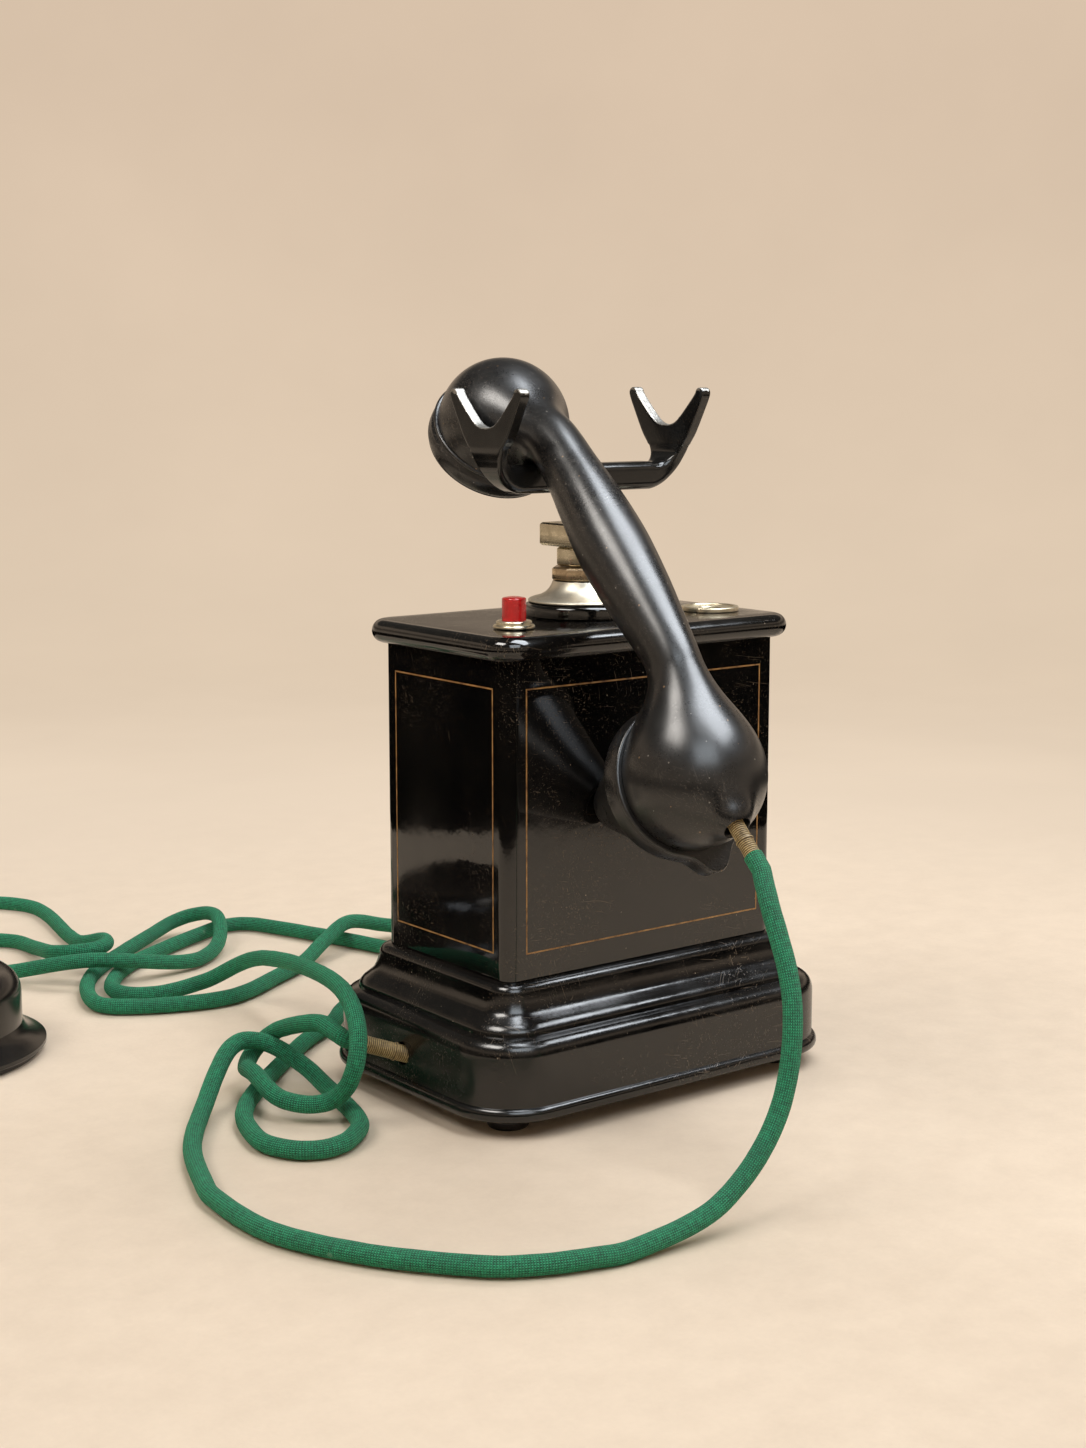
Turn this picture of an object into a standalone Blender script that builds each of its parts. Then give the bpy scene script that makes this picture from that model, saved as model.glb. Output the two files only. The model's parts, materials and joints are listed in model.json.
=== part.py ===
"""Desk telephone of about 1910: a lacquered case on a moulded base, a sprung pillar with a forked
cradle, a handset hooked over it, and two braided cords.

Metres, +Z up. The case is centred on its own empty, its wide front looks along -Y, and the whole
model stands with the middle of its footprint at the origin.
"""

import math

import bmesh
import bpy
from mathutils import Matrix, Vector

# Clearances
SEAT_GAP = 0.0003
SLIDE_GAP = 0.0003
CUT_OVERRUN = 0.002

# Feet and base
FOOT_RADIUS = 0.0102
FOOT_PAD_RADIUS = 0.0082
FOOT_HEIGHT = 0.0072
FOOT_PAD_HEIGHT = 0.0032
FOOT_INSET = 0.0205
BASE_HEIGHT = 0.0498
BASE_FLARE = 0.0204
BASE_WALL = 0.0016
BASE_TOP_FLANGE = 0.0085
BASE_PLATE_THICKNESS = 0.0020
SCREW_RADIUS = 0.0017
SCREW_HEAD_RADIUS = 0.0034
SCREW_HEAD_HEIGHT = 0.0018

# Case
BODY_WIDTH = 0.1410
BODY_DEPTH = 0.0850
BODY_HEIGHT = 0.1260
BODY_CORNER = 0.0060
BODY_WALL = 0.0012
BODY_FLANGE = 0.0070
LEAST_CORNER = 0.0008
LID_OVERHANG = 0.0066
LID_THICKNESS = 0.0095
LID_LIP_DEPTH = 0.0030
LID_LIP_WIDTH = 0.0030

# Pillar
PLINTH_RADIUS = 0.0236
PLINTH_HEIGHT = 0.0054
BELL_LIP_RADIUS = 0.0221
BELL_LIP_HEIGHT = 0.0012
BELL_HEIGHT = 0.0086
BELL_NECK_RADIUS = 0.0118
COLLAR_HALF_WIDTH = 0.0117
COLLAR_HEIGHT = 0.0056
COLUMN_HALF_WIDTH = 0.0098
COLUMN_HEIGHT = 0.0078
PILLAR_NUT_HALF_WIDTH = 0.0124
PILLAR_NUT_HEIGHT = 0.0096
PILLAR_CHAMFER = 0.0009
GUIDE_RADIUS = 0.0058
GUIDE_DEPTH = 0.0200
ROD_RADIUS = 0.0031

# Cradle
HOOK_TRAVEL = 0.0060
BAR_CLEARANCE = 0.0127
BAR_HEIGHT = 0.0115
BAR_DEPTH = 0.0110
BAR_HALF_RUN = 0.0340
BEND_RADIUS = 0.0130
BEND_WIDTH = 0.0150
FORK_THICKNESS = 0.0047
FORK_HALF_SPREAD = 0.0235
FORK_HEIGHT = 0.0305
FORK_EDGE = 0.0008
BAR_EDGE = 0.0032
BAR_BOSS_RADIUS = 0.0062
BAR_BOSS_HEIGHT = 0.0050

# Switch under the lid
STOP_NUT_RADIUS = 0.0070
STOP_NUT_HEIGHT = 0.0040
HOOK_SPRING_RADIUS = 0.0045
HOOK_SPRING_WIRE = 0.0010
HOOK_SPRING_TURNS = 6
HOOK_SPRING_LENGTH = 0.0145
BRACKET_HALF_WIDTH = 0.0150
BRACKET_DEPTH = 0.0120
BRACKET_THICKNESS = 0.0015
CONTACT_BLOCK_WIDTH = 0.0120
CONTACT_BLOCK_DEPTH = 0.0110
CONTACT_BLOCK_FOOT = 0.0035
CONTACT_GAP = 0.0034
LEAF_THICKNESS = 0.0006
LEAF_WIDTH = 0.0060

# Push button
BUTTON_SIDE_INSET = 0.0200
BUTTON_FRONT_INSET = 0.0219
BUTTON_TRAVEL = 0.0030
BUTTON_RADIUS = 0.0048
BUTTON_PROUD = 0.0090
BUTTON_SKIRT = 0.0020
BUTTON_EDGE = 0.0007
BUTTON_RING_RADIUS = 0.0083
BUTTON_RING_HEIGHT = 0.0030
BUTTON_TUBE_WALL = 0.0014
BUTTON_FLOOR = 0.0012
BUTTON_ROD_RADIUS = 0.0016
BUTTON_ROD_REACH = 0.0100
BUTTON_SPRING_WIRE = 0.0007
BUTTON_SPRING_TURNS = 3
BUTTON_SPRING_LENGTH = 0.0070

# Nickel socket on the lid
SOCKET_SIDE_INSET = 0.0150
SOCKET_FRONT_INSET = 0.0250
SOCKET_RADIUS = 0.0122
SOCKET_HEIGHT = 0.0017
SOCKET_DISH_RADIUS = 0.0100
SOCKET_BORE = 0.0048
SOCKET_TUBE_WALL = 0.0012
SOCKET_INSERT_DROP = 0.0010
SOCKET_SLOT_WIDTH = 0.0016
SOCKET_SLOT_DEPTH = 0.0014

# Inside the case
BOARD_THICKNESS = 0.0050
BOARD_CLEARANCE = 0.0008
COIL_RADIUS = 0.0090
COIL_HEIGHT = 0.0260
COIL_CHEEK = 0.0020
COIL_CORE_RADIUS = 0.0035
COIL_SPACING = 0.0240
RINGER_Y = 0.0120
YOKE_THICKNESS = 0.0040
YOKE_OVERHANG = 0.0015
PIVOT_POST_WIDTH = 0.0030
PIVOT_RADIUS = 0.0019
PIVOT_OVERHANG = 0.0040
ARMATURE_THICKNESS = 0.0030
ARMATURE_DEPTH = 0.0070
ARMATURE_GAP = 0.0022
HAMMER_ROD_RADIUS = 0.0011
HAMMER_BALL_RADIUS = 0.0036
HAMMER_REACH = 0.0250
HAMMER_SWING_GAP = 0.0018
GONG_RADIUS = 0.0225
GONG_HEIGHT = 0.0110
GONG_WALL = 0.0014
GONG_POST_RADIUS = 0.0026
GONG_NUT_RADIUS = 0.0046
GONG_NUT_HEIGHT = 0.0030
INDUCTION_RADIUS = 0.0130
INDUCTION_LENGTH = 0.0660
INDUCTION_CHEEK = 0.0040
INDUCTION_CORE_RADIUS = 0.0050
INDUCTION_SIDE_INSET = 0.0205
CONDENSER_WIDTH = 0.0380
CONDENSER_DEPTH = 0.0560
CONDENSER_HEIGHT = 0.0260
CONDENSER_X = 0.0020
TERMINAL_LENGTH = 0.0700
TERMINAL_WIDTH = 0.0160
TERMINAL_HEIGHT = 0.0100
TERMINAL_SIDE_INSET = 0.0185
TERMINAL_COUNT = 5
TERMINAL_HEAD_RADIUS = 0.0036
TERMINAL_HEAD_HEIGHT = 0.0026

# Handset. Its own frame has its origin in the ear bulb, +Y towards the case and +Z up.
EAR_X = -0.0169
EAR_Y = 0.0315
EAR_ABOVE_BAR = 0.0159
HANDSET_YAW = math.radians(9.1)
HANDSET_LEAN = math.radians(3.7)
HANDSET_LIFT = 0.1200
EAR_BULB_RADIUS = 0.0267
EAR_TILT = math.radians(43.0)
EAR_RIM = 0.0036
EAR_CAP_RADIUS = 0.0283
EAR_CAP_HEIGHT = 0.0122
EAR_HOLE_RADIUS = 0.0060
CAP_WALL = 0.0028
MOUTH_Y = -0.1369
MOUTH_Z = -0.1278
MOUTH_BULB_RADIUS = 0.0274
MOUTH_TILT = math.radians(20.0)
MOUTH_RIM = 0.0052
MOUTH_CAP_RADIUS = 0.0298
MOUTH_CAP_HEIGHT = 0.0112
HORN_BASE_RADIUS = 0.0262
HORN_TIP_RADIUS = 0.0105
HORN_LENGTH = 0.0458
HORN_WALL = 0.0022
SHELL_WALL = 0.0040
SHELL_CAVITY = 0.0100
CAPSULE_HEIGHT = 0.0090
DIAPHRAGM_THICKNESS = 0.0006
MAGNET_HEIGHT = 0.0080
LUG_REACH = 0.0072
LUG_WIDTH = 0.0130
LUG_THICKNESS = 0.0090
BOSS_RADIUS = 0.0066
BOSS_Y = -0.1653
BOSS_Z = -0.1429
BOSS_LENGTH = 0.0300
BOSS_TURN = math.radians(222.0)
BOSS_BORE_DEPTH = 0.0050

# Cords
CORD_DIAMETER = 0.0074
HANDSET_CORD_STEP = 0.0185
LINE_CORD_STEP = 0.0215
CORD_END_GAP = 0.0003
HANDSET_WHIPPING_RADIUS = 0.0031
HANDSET_WHIPPING_LENGTH = 0.0120
LINE_WHIPPING_RADIUS = 0.0034
LINE_WHIPPING_INSIDE = 0.0030
WHIPPING_RING = 0.0004
CORD_HOLE_RADIUS = 0.0047
LINE_EXIT_Y = 0.0011
LINE_EXIT_Z = 0.0225
REAR_EXIT_X = -0.0100
REAR_EXIT_Z = 0.0200
BUSH_RADIUS = 0.0070
BUSH_LENGTH = 0.0076
BUSH_FLANGE = 0.0020
ROSETTE_X = -0.2210
ROSETTE_Y = 0.1910
ROSETTE_RADIUS = 0.0590
ROSETTE_DRUM_RADIUS = 0.0490
ROSETTE_HEIGHT = 0.0360
ROSETTE_FOOT_HEIGHT = 0.0026
ROSETTE_FLARE_HEIGHT = 0.0100
ROSETTE_SHOULDER = 0.0100
ROSETTE_CORD_Z = 0.0175

# Each cord's points by hand between its two seats, up and over itself where it crosses
HANDSET_CORD_POINTS = (
    (-0.039, -0.155, 0.1070), (-0.042, -0.171, 0.0730), (-0.052, -0.175, 0.0365),
    (-0.079, -0.176, 0.0110), (-0.116, -0.176, 0.0040), (-0.135, -0.173, 0.0040),
    (-0.153, -0.166, 0.0040), (-0.168, -0.155, 0.0040), (-0.191, -0.125, 0.0040),
    (-0.206, -0.089, 0.0040), (-0.206, -0.052, 0.0040), (-0.201, -0.033, 0.0040),
    (-0.186, 0.002, 0.0040), (-0.164, 0.033, 0.0060), (-0.138, 0.057, 0.0195),
    (-0.121, 0.060, 0.0190), (-0.111, 0.046, 0.0110), (-0.110, 0.028, 0.0055),
    (-0.119, -0.009, 0.0040), (-0.130, -0.024, 0.0040), (-0.147, -0.032, 0.0040),
    (-0.160, -0.020, 0.0040), (-0.161, -0.001, 0.0040), (-0.144, 0.033, 0.0040),
    (-0.088, 0.085, 0.0040), (-0.057, 0.107, 0.0040), (-0.044, 0.120, 0.0040),
    (-0.028, 0.131, 0.0040), (-0.011, 0.125, 0.0055), (-0.006, 0.108, 0.0115),
    (-0.009, 0.090, 0.0185),
)
LINE_CORD_POINTS = (
    (-0.107, 0.007, 0.0285), (-0.114, 0.028, 0.0330), (-0.114, 0.072, 0.0165),
    (-0.128, 0.061, 0.0100), (-0.137, 0.039, 0.0135), (-0.138, 0.015, 0.0090),
    (-0.124, 0.000, 0.0100), (-0.118, -0.009, 0.0310), (-0.103, 0.029, 0.0465),
    (-0.071, 0.143, 0.0285), (-0.078, 0.185, 0.0095), (-0.098, 0.196, 0.0045),
    (-0.111, 0.214, 0.0040), (-0.083, 0.251, 0.0040), (-0.021, 0.286, 0.0040),
    (0.002, 0.291, 0.0040), (0.013, 0.271, 0.0040), (0.029, 0.225, 0.0040),
    (0.043, 0.180, 0.0040), (0.065, 0.176, 0.0040), (0.079, 0.194, 0.0040),
    (0.072, 0.216, 0.0045), (0.052, 0.228, 0.0080), (0.029, 0.226, 0.0135),
    (0.008, 0.216, 0.0090), (-0.012, 0.203, 0.0045), (-0.034, 0.190, 0.0040),
    (-0.075, 0.171, 0.0040), (-0.119, 0.187, 0.0040), (-0.125, 0.209, 0.0040),
    (-0.102, 0.250, 0.0040), (-0.046, 0.295, 0.0055), (-0.024, 0.302, 0.0100),
    (-0.017, 0.283, 0.0130), (-0.026, 0.262, 0.0075), (-0.042, 0.245, 0.0045),
    (-0.064, 0.236, 0.0055), (-0.111, 0.239, 0.0135), (-0.141, 0.274, 0.0045),
    (-0.156, 0.291, 0.0040), (-0.160, 0.315, 0.0040), (-0.148, 0.336, 0.0040),
    (-0.127, 0.344, 0.0040), (-0.109, 0.330, 0.0040), (-0.107, 0.306, 0.0050),
    (-0.115, 0.262, 0.0130), (-0.096, 0.254, 0.0135), (-0.085, 0.274, 0.0125),
    (-0.086, 0.297, 0.0065), (-0.081, 0.322, 0.0040), (-0.069, 0.391, 0.0040),
    (-0.096, 0.426, 0.0040), (-0.120, 0.427, 0.0040), (-0.165, 0.412, 0.0040),
    (-0.199, 0.379, 0.0040), (-0.221, 0.336, 0.0040), (-0.223, 0.288, 0.0065),
)

# Outlines, as shares of the sizes that they follow
BASE_PROFILE_SHARES = (
    (0.050, 1.000),
    (0.157, 0.986),
    (0.225, 0.952),
    (0.250, 0.912),
    (0.294, 0.851),
    (0.373, 0.787),
    (0.500, 0.739),
    (0.588, 0.711),
    (0.657, 0.675),
    (0.681, 0.637),
    (0.765, 0.629),
    (0.863, 0.612),
    (0.946, 0.574),
    (0.990, 0.522),
    (1.000, 0.478),
    (1.000, 0.108),
    (1.049, 0.098),
    (1.088, 0.074),
    (1.098, 0.044),
    (1.078, 0.016),
    (1.030, 0.000),
)
BELL_PROFILE_SHARES = ((1.00, 0.00), (0.78, 0.10), (0.50, 0.22), (0.28, 0.40), (0.12, 0.66), (0.0, 1.0))
FORK_OUTER_SHARES = ((0.36, 0.00), (0.43, 0.12), (0.63, 0.33), (0.87, 0.68), (1.00, 0.92))
FORK_TIP_SHARES = ((0.99, 0.965), (0.94, 0.99), (0.885, 1.0), (0.83, 0.985), (0.79, 0.95))
FORK_INNER_SHARES = ((0.60, 0.79), (0.40, 0.63), (0.24, 0.53), (0.10, 0.495))
HANDLE_PATH_SHARES = (
    (0.040, 0.015, 0.560),
    (0.150, 0.018, 0.470),
    (0.292, 0.043, 0.400),
    (0.421, 0.147, 0.418),
    (0.513, 0.238, 0.473),
    (0.624, 0.357, 0.524),
    (0.737, 0.475, 0.495),
    (0.819, 0.559, 0.444),
    (0.892, 0.634, 0.392),
    (0.929, 0.692, 0.384),
    (0.957, 0.759, 0.450),
    (0.975, 0.830, 0.630),
    (0.990, 0.905, 0.800),
    (1.000, 0.980, 0.860),
)
LIP_SHARE = 0.35
GONG_PROFILE_SHARES = ((1.00, 0.00), (0.97, 0.45), (0.80, 0.82), (0.45, 1.00))
BOX_FLARE_SHARES = ((1.0, 0.0), (1.0, 0.22), (0.62, 0.36), (0.26, 0.62), (0.0, 1.0))

ROUND = 32
ROUND_MIDDLE = 24
ROUND_SMALL = 16
ROUND_TINY = 10
CORNER_STEPS = 5
BEND_STEPS = 6
HANDLE_STEPS = 2
SHOULDER_STEPS = 5
CORD_SIDES_RESOLUTION = 2
CORD_SPANS = 6
LEAD_SHARE = 0.8

# Heights that follow from the sizes
BASE_BOTTOM = FOOT_HEIGHT
BASE_TOP = BASE_BOTTOM + BASE_HEIGHT
BODY_BOTTOM = BASE_TOP + SEAT_GAP
BODY_TOP = BODY_BOTTOM + BODY_HEIGHT
LID_BOTTOM = BODY_TOP + SEAT_GAP
LID_TOP = LID_BOTTOM + LID_THICKNESS
PLINTH_BOTTOM = LID_TOP + SEAT_GAP
BELL_BOTTOM = PLINTH_BOTTOM + PLINTH_HEIGHT + SEAT_GAP
COLLAR_BOTTOM = BELL_BOTTOM + BELL_HEIGHT + SEAT_GAP
COLUMN_BOTTOM = COLLAR_BOTTOM + COLLAR_HEIGHT + SEAT_GAP
NUT_BOTTOM = COLUMN_BOTTOM + COLUMN_HEIGHT + SEAT_GAP
NUT_TOP = NUT_BOTTOM + PILLAR_NUT_HEIGHT
BAR_BOTTOM = NUT_TOP + BAR_CLEARANCE
BAR_MIDDLE = BAR_BOTTOM + BAR_HEIGHT / 2
FORK_X = BAR_HALF_RUN + BEND_RADIUS
FORK_BOTTOM = BAR_BOTTOM + BAR_HEIGHT
BORE_RADIUS = GUIDE_RADIUS + SLIDE_GAP
ROD_BORE = ROD_RADIUS + SLIDE_GAP
GUIDE_BOTTOM = LID_BOTTOM - GUIDE_DEPTH
STOP_NUT_TOP = GUIDE_BOTTOM - HOOK_TRAVEL - SEAT_GAP
STOP_NUT_BOTTOM = STOP_NUT_TOP - STOP_NUT_HEIGHT
SPRING_FLOOR = STOP_NUT_BOTTOM - HOOK_SPRING_LENGTH - 2 * SEAT_GAP
BASE_OUT = BASE_FLARE * max(share for share, _ in BASE_PROFILE_SHARES)
HALF_WIDTH = BODY_WIDTH / 2
HALF_DEPTH = BODY_DEPTH / 2
BUTTON_X = BUTTON_SIDE_INSET - HALF_WIDTH
BUTTON_Y = BUTTON_FRONT_INSET - HALF_DEPTH
SOCKET_X = HALF_WIDTH - SOCKET_SIDE_INSET
SOCKET_Y = SOCKET_FRONT_INSET - HALF_DEPTH
INDUCTION_X = HALF_WIDTH - INDUCTION_SIDE_INSET
TERMINAL_X = TERMINAL_SIDE_INSET - HALF_WIDTH
EAR_CENTRE = (EAR_X, EAR_Y, FORK_BOTTOM + EAR_ABOVE_BAR)
PLATE_TOP = BASE_BOTTOM + BASE_PLATE_THICKNESS
BOARD_BOTTOM = BODY_BOTTOM + BODY_WALL + SEAT_GAP
BOARD_TOP = BOARD_BOTTOM + BOARD_THICKNESS
HANDSET_FRONT = EAR_CENTRE[1] + BOSS_Y * math.cos(HANDSET_YAW)
CASE_SETBACK = -(HANDSET_FRONT + HALF_DEPTH + BASE_OUT) / 2


def clear_scene():
    for item in list(bpy.data.objects):
        bpy.data.objects.remove(item)


def material(name, colour, roughness, metallic=0.0, coat=0.0):
    """A Principled material under this name."""
    made = bpy.data.materials.new(name)
    made.use_nodes = True
    shader = made.node_tree.nodes["Principled BSDF"]
    shader.inputs["Base Color"].default_value = (*colour, 1.0)
    shader.inputs["Roughness"].default_value = roughness
    shader.inputs["Metallic"].default_value = metallic
    shader.inputs["Coat Weight"].default_value = coat
    made.diffuse_color = (*colour, 1.0)
    return made


def place(obj, parent=None, at=(0, 0, 0), turn=(0, 0, 0)):
    obj.parent = parent
    obj.location = at
    obj.rotation_euler = turn
    return obj


def mesh_object(name, bm, surface, smooth=True):
    """Makes one object from a bmesh, facing out, and clears the bmesh."""
    bmesh.ops.recalc_face_normals(bm, faces=bm.faces)
    mesh = bpy.data.meshes.new(name)
    bm.to_mesh(mesh)
    bm.free()
    if smooth:
        mesh.shade_smooth()
        mesh.set_sharp_from_angle(angle=math.radians(35))
    obj = bpy.data.objects.new(name, mesh)
    bpy.context.scene.collection.objects.link(obj)
    mesh.materials.append(surface)
    return obj


def skin(name, rings, surface, loop=False):
    """Joins rings of points one after another. A ring of one point is a pole. loop joins the last to the first."""
    bm = bmesh.new()
    made = [[bm.verts.new(point) for point in ring] for ring in rings]
    pairs = list(zip(made, made[1:]))
    if loop:
        pairs.append((made[-1], made[0]))
    for lower, upper in pairs:
        count = max(len(lower), len(upper))
        for i in range(count):
            j = (i + 1) % count
            if len(lower) == 1:
                bm.faces.new((lower[0], upper[i], upper[j]))
            elif len(upper) == 1:
                bm.faces.new((lower[i], lower[j], upper[0]))
            else:
                bm.faces.new((lower[i], lower[j], upper[j], upper[i]))
    if not loop:
        for ring in (made[0], made[-1]):
            if len(ring) > 1:
                bm.faces.new(ring)
    return mesh_object(name, bm, surface)


def circle(radius, height, steps=ROUND, sides=0):
    """A ring round Z. sides gives a polygon with this many flats, whose radius is to the flat."""
    points = []
    for i in range(steps):
        angle = math.tau * i / steps
        reach = radius
        if sides:
            step = math.tau / sides
            reach = radius / math.cos((angle + step / 2) % step - step / 2)
        points.append((reach * math.cos(angle), reach * math.sin(angle), height))
    return points


def turned(name, profile, surface, steps=ROUND, loop=False):
    """A solid of revolution. profile is (radius, height); loop makes it a closed ring with a bore."""
    rings = [circle(radius, height, steps) if radius > 0 else [(0, 0, height)] for radius, height in profile]
    return skin(name, rings, surface, loop)


def rounded_rectangle(half_x, half_y, corner, height):
    """A ring of points round a rectangle with round corners."""
    corner = max(corner, LEAST_CORNER)
    points = []
    for quarter, (side_x, side_y) in enumerate(((1, 1), (-1, 1), (-1, -1), (1, -1))):
        for i in range(CORNER_STEPS):
            angle = math.pi / 2 * (quarter + i / (CORNER_STEPS - 1))
            points.append((
                side_x * (half_x - corner) + corner * math.cos(angle),
                side_y * (half_y - corner) + corner * math.sin(angle),
                height,
            ))
    return points


def moulding(name, profile, surface, half_x, half_y, corner, loop=False):
    """Sweeps a profile of (way out, height) round a rectangle with round corners."""
    rings = [rounded_rectangle(half_x + out, half_y + out, corner + out, height) for out, height in profile]
    return skin(name, rings, surface, loop)


def block(name, size, middle, surface, edge=0.0):
    """A rectangular block, its edges rounded by edge."""
    bm = bmesh.new()
    bmesh.ops.create_cube(bm, size=1.0, matrix=Matrix.Translation(middle) @ Matrix.Diagonal((*size, 1)))
    obj = mesh_object(name, bm, surface)
    if edge:
        soften(obj, edge)
    return obj


def soften(obj, width, segments=2, angle=math.radians(40)):
    bevel = obj.modifiers.new("Edges", "BEVEL")
    bevel.width = width
    bevel.segments = segments
    bevel.limit_method = "ANGLE"
    bevel.angle_limit = angle
    return obj


def combine(obj, other, operation):
    """Adds or takes away another solid, which stays only as a hidden helper."""
    other.hide_render = True
    other.display_type = "WIRE"
    other.parent = obj.parent
    change = obj.modifiers.new(other.name, "BOOLEAN")
    change.operation = operation
    change.object = other
    return obj


def cut(obj, other):
    return combine(obj, other, "DIFFERENCE")


def join(obj, other):
    return combine(obj, other, "UNION")


def rod(name, radius, start, end, surface, steps=ROUND_SMALL):
    """A plain round bar between two points."""
    start = Vector(start)
    way = Vector(end) - start
    turn = way.to_track_quat("Z", "Y").to_matrix()
    rings = []
    for share in (0, 1):
        rings.append([start + way * share + turn @ Vector(point) for point in circle(radius, 0, steps)])
    return skin(name, rings, surface)


def smooth_points(points, per_span):
    """Points on a smooth curve through the given ones."""
    points = [Vector(point) for point in points]
    ends = [2 * points[0] - points[1]] + points + [2 * points[-1] - points[-2]]
    result = []
    for i in range(1, len(ends) - 2):
        before, here, there, after = ends[i - 1: i + 3]
        for j in range(per_span):
            t = j / per_span
            result.append(0.5 * (
                2 * here
                + (there - before) * t
                + (2 * before - 5 * here + 4 * there - after) * t ** 2
                + (3 * here - before - 3 * there + after) * t ** 3
            ))
    result.append(points[-1])
    return result


def spaced(points, step):
    """Points a step apart along a polyline, with both its ends kept."""
    lengths = [0.0]
    for here, there in zip(points, points[1:]):
        lengths.append(lengths[-1] + (there - here).length)
    count = max(2, round(lengths[-1] / step))
    result = []
    k = 0
    for i in range(count + 1):
        target = lengths[-1] * i / count
        while k < len(points) - 2 and lengths[k + 1] < target:
            k += 1
        span = lengths[k + 1] - lengths[k]
        result.append(points[k].lerp(points[k + 1], (target - lengths[k]) / span))
    return result


def tube(name, points, diameter, surface, resolution=CORD_SIDES_RESOLUTION):
    """A round tube with closed ends along the points."""
    curve = bpy.data.curves.new(name, "CURVE")
    curve.dimensions = "3D"
    curve.bevel_depth = diameter / 2
    curve.bevel_resolution = resolution
    curve.use_fill_caps = True
    spline = curve.splines.new("POLY")
    spline.points.add(len(points) - 1)
    for knot, point in zip(spline.points, points):
        knot.co = (*point, 1.0)
    obj = bpy.data.objects.new(name, curve)
    bpy.context.scene.collection.objects.link(obj)
    curve.materials.append(surface)
    return obj


def with_leads(points, start_way, end_way):
    """The points with a short straight lead at each end, so that the tube's ends face their seats."""
    lead = CORD_DIAMETER * LEAD_SHARE
    first = points[0] + start_way * lead
    last = points[-1] - end_way * lead
    return [points[0], first] + points[1:-1] + [last, points[-1]]


def coil_points(radius, length, turns, per_turn=8):
    """A helix round Z from height zero."""
    points = []
    for i in range(turns * per_turn + 1):
        share = i / (turns * per_turn)
        angle = math.tau * turns * share
        points.append((radius * math.cos(angle), radius * math.sin(angle), length * share))
    return points


def spring(name, radius, wire, length, turns, surface):
    """A coil spring whose whole height, wire included, is length, standing on height zero."""
    points = coil_points(radius - wire / 2, length - wire, turns)
    return tube(name, [(x, y, z + wire / 2) for x, y, z in points], wire, surface, 1)


def arc(centre, radius, start, end, steps):
    """Points on an arc, as (across, up)."""
    points = []
    for i in range(steps + 1):
        angle = math.radians(start + (end - start) * i / steps)
        points.append((centre[0] + radius * math.cos(angle), centre[1] + radius * math.sin(angle)))
    return points


def inset(profile, wall):
    """The profile moved inwards by the wall, each point along the mean of its two sides' normals."""
    result = []
    for i, (across, up) in enumerate(profile):
        normal = Vector((0, 0))
        for a, b in ((i - 1, i), (i, i + 1)):
            if a < 0 or b >= len(profile):
                continue
            way = Vector(profile[b]) - Vector(profile[a])
            normal += Vector((way.y, -way.x)).normalized()
        normal.normalize()
        result.append((across + normal.x * wall, up + normal.y * wall))
    return result


def make_materials():
    """The surfaces, by name."""
    return {
        "lacquer": material("black_lacquer", (0.010, 0.010, 0.011), 0.16, coat=0.5),
        "enamel": material("black_enamel", (0.012, 0.012, 0.013), 0.28),
        "ebonite": material("ebonite", (0.026, 0.027, 0.029), 0.38),
        "nickel": material("nickel", (0.66, 0.62, 0.54), 0.24, metallic=1.0),
        "brass": material("brass", (0.55, 0.42, 0.20), 0.35, metallic=1.0),
        "steel": material("steel", (0.42, 0.42, 0.43), 0.38, metallic=1.0),
        "red": material("red_button", (0.62, 0.012, 0.012), 0.25),
        "wood": material("beech_board", (0.38, 0.22, 0.11), 0.60),
        "copper": material("enamelled_wire", (0.30, 0.10, 0.05), 0.45),
        "tin": material("tinned_can", (0.50, 0.50, 0.48), 0.42, metallic=1.0),
        "cord": material("green_braid", (0.020, 0.190, 0.095), 0.80),
        "thread": material("yellow_thread", (0.42, 0.32, 0.12), 0.75),
        "dark": material("dark_insulator", (0.02, 0.018, 0.016), 0.50),
    }


def base_profile():
    """The base's outer outline, top first, as (way out, height)."""
    return [(BASE_FLARE * out, BASE_BOTTOM + BASE_HEIGHT * up) for out, up in BASE_PROFILE_SHARES]


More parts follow.
